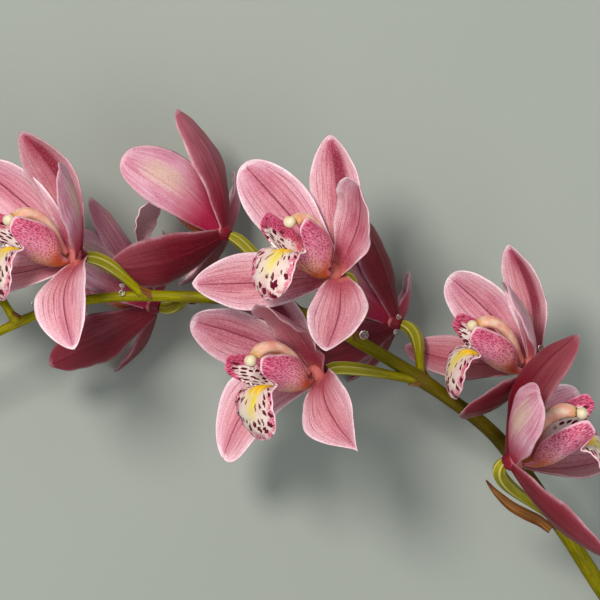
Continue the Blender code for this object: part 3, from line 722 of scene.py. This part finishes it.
def lip_look():
    """White with maroon spots and dashes, magenta side lobes, a yellow disc and an orange throat."""
    look = Look("lip_skin", 0.42, 0.25)
    t, s, side = look.read("t", "s", "side")
    flat, rays, across = look.read("flat", "rays", "across")
    edge = positive(s)
    grain = noise(flat, 3.0, 2.0, 0.7)
    cloud = noise(flat, 0.22, 3.0)
    wander = times(less(cloud, 0.5), 0.4)
    reach = plus(edge, wander)
    lobes = ease(t, 0.46, 0.43)
    uneven = shaken(rays, noise(flat, 0.8), 0.5)
    blots = shaken(flat, noise(flat, 0.7), 0.9)
    net = ease(noise(flat, 2.0, 1.0), 0.38, 0.60)
    # Inner face
    glow = times(ease(across, 8.5, 2.5), ease(t, 0.38, 0.47), ease(t, 0.88, 0.62))
    ribbon = ease(noise(scaled(rays, 1.6, 0.35)), 0.40, 0.56)
    disc = times(ease(across, 5.8, 3.6), ease(t, 0.38, 0.42), ease(t, 0.63, 0.54))
    magenta = mix(net, (228, 90, 142), (184, 18, 82))
    patch = times(most(ease(reach, 0.62, 0.84), ease(t, 0.84, 0.94)), ease(t, 0.5, 0.6),
                  ease(noise(flat, 0.3), 0.36, 0.48))
    rim = most(ease(edge, 0.94, 0.99), ease(t, 0.97, 0.99))
    throat = ease(t, 0.28, 0.12)
    dots = ease(cells(scaled(blots, 0.42, 0.36), 1.0, 0.85), 0.31, 0.27)
    dots = times(dots, lobes, ease(across, 4.4, 5.6), ease(reach, 0.90, 0.78), ease(t, 0.22, 0.28))
    small = ease(cells(flat, 0.9, 0.9), 0.26, 0.20)
    small = times(small, lobes, ease(reach, 0.58, 0.72), ease(t, 0.16, 0.24), ease(edge, 0.985, 0.96), 0.75)
    dashes = ease(cells(uneven, 1.1, 0.8), 0.31, 0.26)
    fringe = most(ease(edge, 0.50, 0.60), ease(t, 0.77, 0.82))
    dashes = times(dashes, fringe, ease(t, 0.47, 0.50), ease(t, 0.985, 0.965), ease(edge, 0.975, 0.94))
    inner = ease(cells(scaled(uneven, 1.15, 0.8), 1.0), 0.20, 0.16)
    inner = times(inner, ease(t, 0.56, 0.60), ease(across, 1.4, 2.4), ease(edge, 0.66, 0.56), 0.95)
    few = times(ease(cells(flat, 0.62), 0.19, 0.14), ease(t, 0.38, 0.41), ease(t, 0.54, 0.50),
                ease(across, 1.8, 2.6))
    marks = most(most(dots, dashes), most(inner, few))
    white = layers(
        mix(ease(cloud, 0.3, 0.7), (230, 214, 200), (224, 190, 190)),
        (lobes, (250, 240, 234)),
        (times(glow, ease(across, 4.5, 1.5, 0.25, 1.0), plus(times(ribbon, 0.6), 0.4)), (232, 208, 20)),
        (disc, (242, 194, 0)),
        (times(ease(reach, 0.7, 0.82), lobes, 0.95), magenta),
        (times(patch, plus(times(net, 0.6), 0.4)), (200, 34, 100)),
        (times(rim, ease(t, 0.46, 0.5), 0.8), (240, 206, 214)),
        (throat, mix(ease(across, 6.0, 2.0), (196, 84, 88), (214, 138, 40))),
        (ease(grain, 0.4, 0.8, 0.0, 0.12), (255, 244, 246)),
        (small, (120, 6, 46)),
        (marks, (96, 2, 30)),
    )
    # Outer face
    rosy = plus(times(ease(reach, 0.35, 0.95), 0.65), times(ease(t, 0.22, 0.38), 0.3))
    specks = times(ease(cells(flat, 0.8), 0.25, 0.18), ease(t, 0.10, 0.2), ease(t, 0.46, 0.43))
    outer = layers(
        mix(ease(cloud, 0.3, 0.75), (228, 158, 174), (216, 132, 154)),
        (times(ease(t, 0.36, 0.1), 0.5), (226, 166, 150)),
        (times(net, rosy), (172, 22, 78)),
        (times(rosy, 0.4), (190, 52, 96)),
        (times(ease(edge, 0.55, 0.2), ease(t, 0.42, 0.3), 0.75), (216, 158, 120)),
        (times(ease(t, 0.3, 0.14), ease(edge, 0.85, 0.45), 0.95), (204, 96, 14)),
        (times(specks, 0.8), (122, 12, 48)),
        (ease(t, 0.44, 0.5), mix(times(net, 0.6), (244, 224, 226), (196, 44, 104))),
        (times(ease(edge, 0.94, 0.99), 0.7), (242, 206, 214)),
    )
    colour = mix(ease(side, 0.3, 0.7), outer, white)
    height = plus(times(marks, 0.4), times(grain, 0.8))
    look.flesh(0.03, (1.0, 0.5, 0.45), 0.0005)
    return look.finish(colour, height, 0.35, 0.0003, ease(grain, 0.2, 0.8, 0.3, 0.46))


def column_look():
    """Cream and yellow over peach, flushed with pink and specked beneath."""
    look = Look("column_skin", 0.36, 0.3)
    t, around, flat = look.read("t", "around", "flat")
    cloud = noise(flat, 0.35, 3.0)
    grain = noise(flat, 3.2, 2.0, 0.7)
    under = ease(around, 0.1, 0.6)
    specks = times(ease(cells(flat, 1.1), 0.26, 0.17), under)
    look.flesh(0.2, (1.0, 0.6, 0.4), 0.0015)
    colour = layers(
        mix(ease(cloud, 0.3, 0.7), (232, 206, 178), (224, 178, 156)),
        (times(ease(t, 0.45, 0.0), 0.9), (208, 110, 122)),
        (times(ease(t, 0.3, 0.7), ease(cloud, 0.32, 0.66), 0.75), (232, 150, 128)),
        (times(ease(t, 0.9, 0.99), 0.6), (200, 150, 60)),
        (times(under, 0.8), (214, 158, 120)),
        (times(specks, 0.85), (132, 30, 56)),
        (ease(grain, 0.4, 0.8, 0.0, 0.12), (255, 246, 232)),
    )
    return look.finish(colour, grain, 0.25, 0.00025)


def cap_look():
    look = Look("cap_skin", 0.38, 0.35)
    t, flat = look.read("t", "flat")
    cloud = noise(flat, 0.5, 3.0)
    grain = noise(flat, 3.0, 2.0, 0.7)
    seam = look.read("seam")
    look.flesh(0.25, (1.0, 0.8, 0.5), 0.0015)
    colour = layers(
        mix(ease(cloud, 0.3, 0.7), (232, 222, 196), (226, 208, 166)),
        (ease(t, 0.25, 0.02), (214, 178, 108)),
        (times(seam, 0.35), (206, 180, 128)),
    )
    return look.finish(colour, grain, 0.25, 0.0002)


def stem_look():
    """Olive, with fine lengthwise streaks, brown freckles and cream ridges on the ovaries; painted shadow
    darkens parts of it.
    """
    look = Look("stem_skin", 0.42, 0.08)
    flat, around, ovary, low = look.read("flat", "around", "ovary", "low")
    streaks = noise(scaled(flat, 1.6, 0.10), 1.0, 3.0, 0.6)
    cloud = noise(scaled(flat, 0.25, 0.06), 1.0, 3.0)
    grain = noise(flat, 3.5, 2.0, 0.6)
    freckle = times(ease(cells(scaled(flat, 1.0, 0.45), 0.55), 0.16, 0.08), 0.55)
    ridge = lines(around, 6.0, 0.22)
    pale = times(ovary, ridge)
    ring = look.read("joint")
    height = plus(times(streaks, 0.8), times(grain, 0.3))
    look.flesh(0.08, (0.7, 1.0, 0.2), 0.001)
    colour = layers(
        mix(ease(streaks, 0.3, 0.7), (160, 150, 0), (118, 110, 0)),
        (times(ease(cloud, 0.4, 0.7), 0.6), (90, 84, 4)),
        # Painted shadow: the stretches of stem that blooms shade are darkened by the low number
        (times(low, 0.95), (52, 36, 0)),
        (freckle, (104, 66, 24)),
        (times(ovary, 0.5), (140, 132, 34)),
        (times(pale, 0.6), (216, 206, 130)),
        (times(ring, 0.55), (98, 74, 30)),
    )
    return look.finish(colour, height, 0.3, 0.0003)


def bud_look():
    look = Look("bud_skin", 0.42, 0.4)
    t, around, flat = look.read("t", "around", "flat")
    cloud = noise(scaled(flat, 0.2, 0.12), 1.0, 3.0)
    grain = noise(flat, 3.4, 2.0, 0.7)
    veins = lines(around, 15.0, 0.16, times(noise(scaled(flat, 0.2, 0.05)), 1.2))
    look.flesh(0.12, (1.0, 0.4, 0.3), 0.0015)
    colour = layers(
        mix(ease(cloud, 0.3, 0.7), (170, 92, 96), (148, 62, 74)),
        (ease(t, 0.35, 0.02), (138, 130, 52)),
        (times(veins, 0.45), (112, 30, 48)),
        (times(look.read("seam"), 0.75), (214, 158, 160)),
    )
    return look.finish(colour, plus(times(veins, -0.4), grain), 0.3, 0.0003)


def bract_look():
    """Dry and papery: brown fibres between straw-coloured ones, darker at the edges and the tip."""
    look = Look("bract_skin", 0.72, 0.25)
    t, s, flat = look.read("t", "s", "flat")
    fibres = noise(scaled(flat, 2.6, 0.09), 1.0, 3.0, 0.65)
    blotch = noise(scaled(flat, 0.7, 0.04), 1.0, 3.0)
    colour = layers(
        mix(ease(fibres, 0.35, 0.65), (138, 86, 32), (88, 46, 18)),
        (times(ease(blotch, 0.45, 0.7), 0.45), (176, 136, 76)),
        (times(ease(positive(s), 0.7, 1.0), 0.5), (78, 40, 18)),
        (times(ease(t, 0.8, 1.0), 0.7), (70, 34, 16)),
    )
    return look.finish(colour, fibres, 0.6, 0.0004)


def nectar_look():
    look = Look("nectar_clear", 0.04, 0.5)
    look.shader.inputs["Transmission Weight"].default_value = 0.92
    look.shader.inputs["IOR"].default_value = 1.38
    ripple = noise(look.read("flat"), 0.8)
    colour = mix(ease(ripple, 0.3, 0.7), (252, 248, 240), (244, 236, 222))
    return look.finish(colour, ripple, 0.05, 0.0001)


def floor_look():
    look = Look("pale_floor", 0.9, 0.1)
    coordinates = look.tree.nodes.new("ShaderNodeTexCoord").outputs["Object"]
    cloud = noise(coordinates, 3.0, 3.0)
    grain = noise(coordinates, 900.0)
    colour = mix(ease(cloud, 0.3, 0.7), (154, 158, 150), (149, 153, 145))
    colour = mix(ease(grain, 0.3, 0.7, 0.0, 0.12), colour, (140, 144, 136))
    return look.finish(colour, grain, 0.05, 0.0002)


def outline(share, widest, point):
    """Half width of a tepal as a share of its widest, from its claw to its pointed tip."""
    rising = CLAW_SHARE + (1 - CLAW_SHARE) * np.sin(math.pi / 2 * np.minimum(share / widest, 1)) ** CLAW_CURVE
    falling = np.maximum(0, np.cos(math.pi / 2 * ramp(share, widest, 1 - widest))) ** point
    return np.where(share < widest, rising, falling)


def curled(middle, side, over, half, s, curl, lift):
    """A grid of points across a curled blade, from its middle line and its half width at each row."""
    angle = curl * s
    across = half[:, None] * np.sin(angle)[None, :] / curl
    rise = half[:, None] * (1 - np.cos(angle))[None, :] / curl + lift
    return middle[:, None, :] - side * across[..., None] + over[:, None, :] * rise[..., None]


def tepal_grid(base, tip, form, size, turn, bow, sway, wave):
    width, widest, point = form
    chord = tip - base
    length = np.linalg.norm(chord)
    along = chord / length
    out = unit(np.array((0.0, 0.0, 1.0)) - along * along[2])
    flank = np.cross(out, along)
    turn = math.radians(turn)
    out, side = (out * math.cos(turn) + flank * math.sin(turn),
                 flank * math.cos(turn) - out * math.sin(turn))
    share = np.sin(math.pi / 2 * even(BLADE_ROWS)) ** BLADE_SPACING
    arch = np.sin(math.pi * share)
    middle = base + np.outer(share, chord) + np.outer(bow * arch, out) + np.outer(sway * arch, flank)
    slope = bow * math.pi * np.cos(math.pi * share)
    normal = unit_rows(out * length - np.outer(slope, along))
    phase = rng.uniform(0, 2 * math.pi, 4)
    half = width * size / 2 * outline(share, widest, point)
    half = half * (1 + 0.012 * np.sin(9 * share + phase[0]) + 0.008 * np.sin(17 * share + phase[1]))
    s = np.linspace(-1, 1, BLADE_COLUMNS + 1)
    spread, edge = share[:, None], np.abs(s)[None, :]
    ends = np.sin(math.pi * spread) ** 0.5
    lift = -CREASE_DEPTH * bump(s[None, :], 0, CREASE_WIDTH) * ends
    beat = np.where(s[None, :] > 0, phase[2], phase[3])
    lift = lift + wave * edge ** 3 * np.sin(2 * math.pi * EDGE_BEATS * spread + beat) * ends
    lift = lift + 0.4 * wave * edge ** 4 * np.sin(2 * math.pi * FINE_BEATS * spread + 2 * beat) * spread
    return curled(middle, side, normal, half, s, TEPAL_CUP, lift), share, s, half, length


def add_tepal(shape, name, kind, pose):
    width, widest, point, behind, sort = TEPALS[kind]
    tip, turn, bow, sway = pose[kind]
    point = pose.get("taper", {}).get(kind, point)
    hub = np.asarray(pose["hub"], dtype=float)
    facing = bloom_frame(pose)[2]
    tip = np.asarray(tip, dtype=float)
    outward = unit(tip - facing * np.dot(tip, facing))
    base = hub - facing * behind + outward * CLAW_START
    wave = WAVES.get((name, kind), EDGE_WAVE)
    grid, share, s, half, length = tepal_grid(base, hub + tip, (width, widest, point), pose["size"],
                                              turn, bow, sway, wave)
    edge = np.maximum(np.abs(s)[None, :], share[:, None])
    thickness = BLADE_THICKNESS + (EDGE_THICKNESS - BLADE_THICKNESS) * edge ** 3
    points, faces, row, column, front = closed_sheet(grid, thickness)
    seed = rng.uniform(0, SEED_MOST)
    # Painted shade for the listed tepals, a random deeper tone for the others
    shade = PAINTED_SHADE_DEPTHS.get((name, kind), DEPTH_SPREAD * rng.uniform(0, 1) ** 2)
    shape.add(above_floor(points), faces, t=share[row], s=s[column], side=front,
              kind=SORTS.get((name, kind), sort), tint=shade,
              flat=skin(s[column] * half[row], share[row] * length, seed),
              lane=skin(s[column] * half.max(), share[row] * length, seed))


def add_hub(shape, pose):
    shares = even(HUB_STEPS)
    forward = HUB_BACK + (HUB_FRONT - HUB_BACK) * shares
    radii = smooth_table(HUB_SHARES, HUB_RADII, shares) * pose["size"]
    centres = place(pose, 0 * forward, 0 * forward, forward)
    points, faces, share, angle = tube(centres, same_rings(radii, HUB_SIDES))
    flat = skin(angle * 20, share * 8, 0.0)
    shape.add(points, faces, t=HUB_TONE_AT, s=0.3, side=np.clip(share * 3 - 1, 0, 1), kind=1.0,
              flat=flat, lane=flat, tint=0.0)


def make_tepals(name, pose, look):
    shape = Shape()
    for kind in TEPALS:
        add_tepal(shape, name, kind, pose)
    add_hub(shape, pose)
    shape.piece(name + "_petals", look, [name + "_tepals"])


def lip_profile(t):
    """Half width, turn and lean of the lip at shares of its length, with a rounded front end."""
    within = np.minimum(t, LIP_SHARES[-1])
    half = smooth_table(LIP_SHARES, LIP_HALF_WIDTHS, within)
    closing = ramp(t, LIP_ROUND_FROM, 1 - LIP_ROUND_FROM)
    rounded = LIP_FRONT_HALF_WIDTH * np.sqrt(np.maximum(0, 1 - closing ** 2.3))
    half = np.where(t > LIP_ROUND_FROM, rounded, half)
    turn = smooth_table(LIP_SHARES, LIP_TURNS, within)
    turn = np.where(np.abs(turn) < LEAST_TURN, LEAST_TURN, turn)
    return half, turn, smooth_table(LIP_SHARES, LIP_LEANS, within)


def make_lip(name, pose, look):
    t = np.interp(even(LIP_ROWS), *LIP_SPACING)
    line = smooth_line(LIP_LINE, FINE_STEPS)
    tangents = unit_rows(np.gradient(line, axis=0))
    fine = even(FINE_STEPS)
    line = np.column_stack([np.interp(t, fine, line[:, k]) for k in (0, 1)])
    tangents = np.column_stack([np.interp(t, fine, tangents[:, k]) for k in (0, 1)])
    half, turn, lean = lip_profile(t)
    s = np.linspace(-1, 1, LIP_COLUMNS + 1)
    phase = rng.uniform(0, 2 * math.pi, 3)
    down, edge = t[:, None], np.abs(s)[None, :]
    beat = np.where(s > 0, phase[0], phase[1])[None, :]
    wave = LIP_RUFFLE * ramp(down, 0.5, 0.15) * edge ** 4 * np.sin(2 * math.pi * LIP_BEATS * down + beat)
    wave = wave + 0.5 * ramp(down, 0.9, 0.1) * np.sin(5 * s[None, :] + phase[2])
    keel = bump(edge * half[:, None], KEEL_ASIDE, KEEL_WIDTH)
    keel = keel * ramp(down, 0.12, 0.1) * ramp(0.60 - down, 0, 0.08)
    curl = turn[:, None] * s[None, :]
    x = half[:, None] * np.sin(curl) / turn[:, None]
    lift = half[:, None] * (1 - np.cos(curl)) / turn[:, None]
    up, ahead = tangents[:, 1], lean - tangents[:, 0]
    grid = place(pose, -x, line[:, 0][:, None] + up[:, None] * lift,
                 line[:, 1][:, None] + ahead[:, None] * lift)
    normals = unit_rows(np.cross(np.gradient(grid, axis=1), np.gradient(grid, axis=0)))
    grid = grid + normals * (wave + keel)[..., None]
    thickness = LIP_THICKNESS * (1 - 0.45 * np.maximum(edge, down) ** 4)
    points, faces, row, column, front = closed_sheet(grid, thickness)
    length = np.linalg.norm(np.diff(line, axis=0), axis=1).sum()
    seed = rng.uniform(0, SEED_MOST)
    aside = s[column] * half[row]
    # Round the mouth of the throat, so that dashes point away from it
    away = t[row] * length - THROAT_MOUTH * length
    angle = np.arctan2(aside, np.maximum(away, 0.1))
    shape = Shape()
    shape.add(above_floor(points), faces, t=t[row], s=s[column], side=front, across=np.abs(aside),
              flat=skin(aside + seed * SEED_SHIFT, t[row] * length, seed),
              rays=skin(angle * RAYS_ROUND + seed * SEED_SHIFT, np.hypot(aside, away) * RAYS_OUT, seed))
    shape.piece(name + "_labellum", look, [name + "_lip"])


def rod(pose, centres, rings):
    """A closed rod across the bloom whose rings keep one direction; rings hold (across, over)."""
    across = bloom_frame(pose)[0]
    tangents = unit_rows(np.gradient(centres, axis=0))
    points = []
    for centre, tangent, offsets in zip(centres, tangents, rings):
        over = unit(np.cross(tangent, across))
        points.append(centre + np.outer(offsets[:, 0], across) + np.outer(offsets[:, 1], over))
    return close_rings(points, centres, len(rings[0]))


def make_column(name, pose, look):
    size = pose["size"]
    line = smooth_line(COLUMN_LINE, COLUMN_STEPS)
    centres = place(pose, 0 * line[:, 0], line[:, 0], line[:, 1])
    shares = even(len(COLUMN_LINE) - 1)
    t = even(COLUMN_STEPS)
    wide = smooth_table(shares, COLUMN_HALF_WIDTHS, t) * size
    deep = smooth_table(shares, COLUMN_HALF_DEPTHS, t) * size
    angles = circle(COLUMN_SIDES)
    rings = []
    for w, d, u in zip(wide, deep, t):
        x, y = w * np.cos(angles), d * np.sin(angles)
        hollow = COLUMN_HOLLOW * d * bump(x, 0, 0.62 * w) * min(1, u * 3)
        rings.append(np.column_stack([x, np.where(y < 0, y + hollow * (y < -0.2 * d), y)]))
    points, faces, share, angle = rod(pose, centres, rings)
    shape = Shape()
    shape.add(points, faces, t=share, around=np.maximum(0, -np.sin(angle * 2 * math.pi)),
              flat=skin(angle * 20, share * 28, rng.uniform(0, SEED_MOST)))
    shape.piece(name + "_pillar", look, [name + "_column"])


def make_cap(name, pose, look):
    size = pose["size"]
    end = np.array(COLUMN_LINE[-1])
    ahead = unit(end - np.array(COLUMN_LINE[-2]))
    centre = end + ahead * (SEAT_GAP / size + CAP_RADII[2])
    top, forward = bloom_frame(pose)[1:]
    along = top * ahead[0] + forward * ahead[1]
    middle = place(pose, 0, centre[0], centre[1])
    angles = circle(CAP_SIDES)
    centres, rings = [], []
    for i in range(1, CAP_STEPS):
        angle = math.pi * i / CAP_STEPS
        centres.append(middle - along * (CAP_RADII[2] * math.cos(angle) * size))
        lobes = 1 - CAP_GROOVE * bump(angles, math.pi / 2, 0.22) * math.sin(angle)
        lobes = lobes - CAP_NOTCH * bump(angles, 3 * math.pi / 2, 0.3) * math.sin(angle)
        swell = math.sin(angle) * size * lobes
        rings.append(np.column_stack([CAP_RADII[0] * swell * np.cos(angles),
                                      CAP_RADII[1] * swell * np.sin(angles)]))
    points, faces, share, angle = rod(pose, np.array(centres), rings)
    points[-2] = middle - along * (CAP_RADII[2] * size)
    points[-1] = middle + along * (CAP_RADII[2] * size)
    shape = Shape()
    shape.add(points, faces, t=share, seam=bump(angle, 0.25, 0.04),
              flat=skin(angle * 16, share * 7, rng.uniform(0, SEED_MOST)))
    shape.piece(name + "_pollen_cap", look, [name + "_anther_cap"])


def stalk_line(start, pose, steps):
    """A stalk that leaves the stem, bends along its neck and meets the back of its bloom."""
    facing = bloom_frame(pose)[2]
    neck = unit(pose.get("neck", facing))
    end = np.asarray(pose["hub"], dtype=float) + facing * (HUB_BACK - SEAT_GAP)
    reach = np.linalg.norm(end - start)
    first = start + unit(end - start) * reach * STALK_LEAVES
    second = end - neck * min(reach * STALK_ARRIVES, STALK_ARRIVES_MOST)
    u = even(steps)[:, None]
    v = 1 - u
    return start * v ** 3 + first * 3 * v * v * u + second * 3 * v * u * u + end * u ** 3


def add_main_stem(shape):
    line = smooth_line(STEM_PATH, STEM_STEPS)
    share = even(STEM_STEPS)
    radius = np.interp(share, *STEM_RADII)
    joint = np.zeros(len(share))
    for at in [pose["stalk"] for pose in (*BLOOMS.values(), *BUDS.values())] + [BRACT_JOINT]:
        joint = np.maximum(joint, bump(share, at, JOINT_RING))
        radius = radius * (1 + JOINT_SWELL * bump(share, at, JOINT_REACH))
    angles = circle(STEM_SIDES)
    uneven = (1 + 0.012 * np.sin(3 * angles)[None, :]
              + 0.010 * np.sin(5 * angles[None, :] + 20 * share[:, None]))
    points, faces, along, around = tube(line, radius[:, None] * uneven)
    # low carries the painted shadow along the stem
    shape.add(above_floor(points), faces, flat=skin(around * 18, along * STEM_LENGTH, 0.0), around=around,
              ovary=0.0, low=np.interp(along, *STEM_PAINTED_SHADOWS), joint=np.interp(along, share, joint) * 0.6)


def add_bloom_stalk(shape, start, pose):
    """A stalk with its ribbed ovary, thinner where it meets the bloom."""
    centres = stalk_line(start, pose, STALK_STEPS)
    u = even(STALK_STEPS)
    swell = np.sin(math.pi / 2 * ramp(u, OVARY_FROM, OVARY_OVER)) ** 2
    radius = STALK_RADIUS + (OVARY_RADIUS - STALK_RADIUS) * swell
    radius = radius + (OVARY_END_RADIUS - OVARY_RADIUS) * ramp(u, OVARY_ENDS, 1 - OVARY_ENDS) ** 1.5
    reach = np.linalg.norm(centres - centres[0], axis=1)
    radius = radius * (1 + FOOT_FLARE * bump(reach, 0, FOOT_REACH))
    ribs = 1 + RIB_DEPTH * swell[:, None] * np.cos(6 * circle(STALK_SIDES))[None, :]
    points, faces, along, around = tube(centres, (radius * pose["size"])[:, None] * ribs,
                                        end_way=bloom_frame(pose)[2])
    shape.add(points, faces, flat=skin(around * 14, along * reach[-1], rng.uniform(0, SEED_MOST)),
              around=around, ovary=np.interp(along, u, swell), low=0.1,
              joint=bump(along * reach[-1], RING_AT, RING_WIDTH))


def add_bud_stalk(shape, start, pose):
    base = np.asarray(pose["base"], dtype=float)
    middle = start + (base - start) * 0.5
    centres = smooth_line([start, middle, base - unit(pose["points"]) * 2.0, base], BUD_STALK_STEPS)
    radius = np.interp(even(BUD_STALK_STEPS), *BUD_STALK_RADII)
    points, faces, along, around = tube(centres, same_rings(radius, BUD_STALK_SIDES))
    shape.add(points, faces, flat=skin(around * 12, along * 12, 5.0), around=around, ovary=0.4 * along,
              low=0.0, joint=0.0)


def make_stem(look):
    shape = Shape()
    add_main_stem(shape)
    fine = smooth_line(STEM_PATH, FINE_STEPS)
    for poses, add_stalk in ((BLOOMS, add_bloom_stalk), (BUDS, add_bud_stalk)):
        for pose in poses.values():
            add_stalk(shape, fine[int(FINE_STEPS * pose["stalk"])], pose)
    shape.piece("green_stem", look, ["flower_stem"])


def make_bud(name, pose, look):
    """A closed bud: three sepals that meet in seams, and a pointed tip."""
    base = np.asarray(pose["base"], dtype=float)
    length = pose["length"]
    u = even(BUD_STEPS)
    swell = np.sin(math.pi * (0.12 + 0.84 * u) ** 0.85)
    centres = base + np.outer(SEAT_GAP + length * u, unit(pose["points"]))
    angles = circle(BUD_SIDES)
    seam = bump(np.abs((angles * 3 / (2 * math.pi) + 0.5) % 1 - 0.5), 0, 0.045)
    flatten = np.hypot(np.cos(angles), BUD_FLATNESS * np.sin(angles))
    shade = ramp(u, 0, 0.15) * ramp(1 - u, 0, 0.1)
    radii = length * BUD_RADIUS * swell[:, None] * flatten[None, :]
    radii = radii * (1 - BUD_SEAM * seam[None, :] * shade[:, None])
    points, faces, share, around = tube(centres, radii)
    seam_at = np.append(np.tile(seam, BUD_STEPS + 1), [0, 0]) * np.interp(share, u, shade)
    shape = Shape()
    shape.add(points, faces, t=share, around=around, seam=seam_at,
              flat=skin(around * 40, share * length, 3.0))
    shape.piece(name + "_closed", look, [name])


def make_bract(look):
    line = smooth_line(BRACT_LINE, BRACT_ROWS)
    tangents = unit_rows(np.gradient(line, axis=0))
    share = even(BRACT_ROWS)
    side = unit_rows(np.cross(np.array((0.0, 0.0, 1.0)), tangents))
    half = BRACT_WIDTH / 2 * np.maximum(0, np.sin(math.pi * (0.22 + 0.78 * share))) ** 0.8 + 0.02
    s = np.linspace(-1, 1, BRACT_COLUMNS + 1)
    wave = BRACT_WAVE * np.abs(s)[None, :] ** 2 * np.sin(14 * share[:, None] + 2 * np.sign(s)[None, :])
    grid = curled(line, side[:, None, :], np.cross(tangents, side), half, s, BRACT_CURL,
                  wave * half[:, None] / half.max())
    thickness = np.full(grid.shape[:2], BRACT_THICKNESS) * (1 - 0.5 * np.abs(s)[None, :] ** 3)
    points, faces, row, column, _ = closed_sheet(grid, thickness)
    shape = Shape()
    shape.add(points, faces, t=share[row], s=s[column],
              flat=skin(s[column] * half[row], share[row] * 38, 2.0))
    shape.piece("papery_bract", look, ["dry_bract"])


def make_scales(look):
    """The small pointed scale under each bloom's stalk."""
    shape = Shape()
    fine = smooth_line(STEM_PATH, FINE_STEPS)
    share = even(SCALE_ROWS)
    s = np.linspace(-1, 1, SCALE_COLUMNS + 1)
    half = SCALE_HALF_WIDTH * np.maximum(0, np.cos(math.pi / 2 * share)) ** 0.8
    for pose in BLOOMS.values():
        at = int(FINE_STEPS * pose["stalk"])
        tipward = unit(fine[at - 2] - fine[at + 2])
        centres = stalk_line(fine[at], pose, 20)
        way = unit(centres[3] - centres[0])
        out = unit(way - tipward * np.dot(way, tipward))
        radius = float(np.interp(pose["stalk"], *STEM_RADII))
        root = fine[at] + out * radius * 0.72 - tipward * SCALE_BELOW
        growth = unit(way * 0.9 + tipward * 0.5)
        back = unit(-tipward - growth * np.dot(-tipward, growth))
        side = np.cross(growth, back)
        rise = -half[:, None] * 0.45 * s[None, :] ** 2
        centre = root + np.outer(share * SCALE_LENGTH, growth) + np.outer(0.9 * share ** 2, back)
        grid = (centre[:, None, :] + side * (half[:, None] * s[None, :])[..., None]
                + back * rise[..., None])
        points, faces, row, column, _ = closed_sheet(grid, np.full(grid.shape[:2], SCALE_THICKNESS))
        shape.add(points, faces, t=share[row], s=s[column],
                  flat=skin(s[column] * half[row], share[row] * SCALE_LENGTH, 9.0))
    shape.piece("stalk_scales", look)


def from_pixel(across, down, height):
    """The point at a height that the camera shows at a pixel of the picture."""
    scale = VIEW_WIDTH / PICTURE_SIZE * (CAMERA_HEIGHT - height) / VIEW_DEPTH
    return np.array(((across - PICTURE_SIZE / 2) * scale, (PICTURE_SIZE / 2 - down) * scale, height))


def make_drops(look):
    shape = Shape()
    angle = math.pi * np.arange(1, DROP_STEPS) / DROP_STEPS
    for across, down, height, radius in DROPS:
        centre = from_pixel(across, down, height)
        centres = centre + np.outer(-radius * DROP_SAG * np.cos(angle), (0, 0, 1))
        points, faces, *_ = tube(centres, same_rings(radius * np.sin(angle), DROP_SIDES))
        points[-2] = centre - (0, 0, radius * DROP_SAG)
        points[-1] = centre + (0, 0, radius * DROP_SAG)
        shape.add(points, faces, flat=points - centre)
    shape.piece("nectar_drops", look)


def make_stage():
    bpy.ops.mesh.primitive_plane_add(size=FLOOR_SIZE, location=(0, 0, 0))
    floor = bpy.context.object
    floor.name = "floor"
    floor.data.materials.append(floor_look())
    world = bpy.data.worlds.new("studio")
    world.use_nodes = True
    sky = world.node_tree.nodes["Background"]
    sky.inputs["Color"].default_value = tone(*SKY_TONE)
    sky.inputs["Strength"].default_value = SKY_STRENGTH
    bpy.context.scene.world = world
    for name, spot, size, power, colour in LAMPS:
        lamp = bpy.data.lights.new(name, "AREA")
        lamp.shape = "DISK"
        lamp.size = size
        lamp.energy = power
        lamp.color = colour
        made = add_object(name, lamp)
        made.location = spot
        made.rotation_mode = "QUATERNION"
        made.rotation_quaternion = Vector(np.array(LAMPS_AIM) - np.array(spot)).to_track_quat("-Z", "Y")
    camera = bpy.data.cameras.new("camera")
    camera.sensor_width = SENSOR
    camera.lens = SENSOR * VIEW_DEPTH / VIEW_WIDTH
    camera.clip_start, camera.clip_end = 0.1, 50.0
    made = add_object("camera", camera)
    made.location = [float(c) * MM for c in np.array((0.0, 0.0, CAMERA_HEIGHT)) - FRAME_SHIFT]
    bpy.context.scene.camera = made
    bpy.context.scene.view_settings.view_transform = "Standard"


def main():
    make_stage()
    tepal, lip, column, cap = tepal_look(), lip_look(), column_look(), cap_look()
    for name, pose in BLOOMS.items():
        make_tepals(name, pose, tepal)
        make_lip(name, pose, lip)
        make_column(name, pose, column)
        make_cap(name, pose, cap)
    make_stem(stem_look())
    bud = bud_look()
    for name, pose in BUDS.items():
        make_bud(name, pose, bud)
    bract = bract_look()
    make_bract(bract)
    make_scales(bract)
    make_drops(nectar_look())
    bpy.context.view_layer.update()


main()
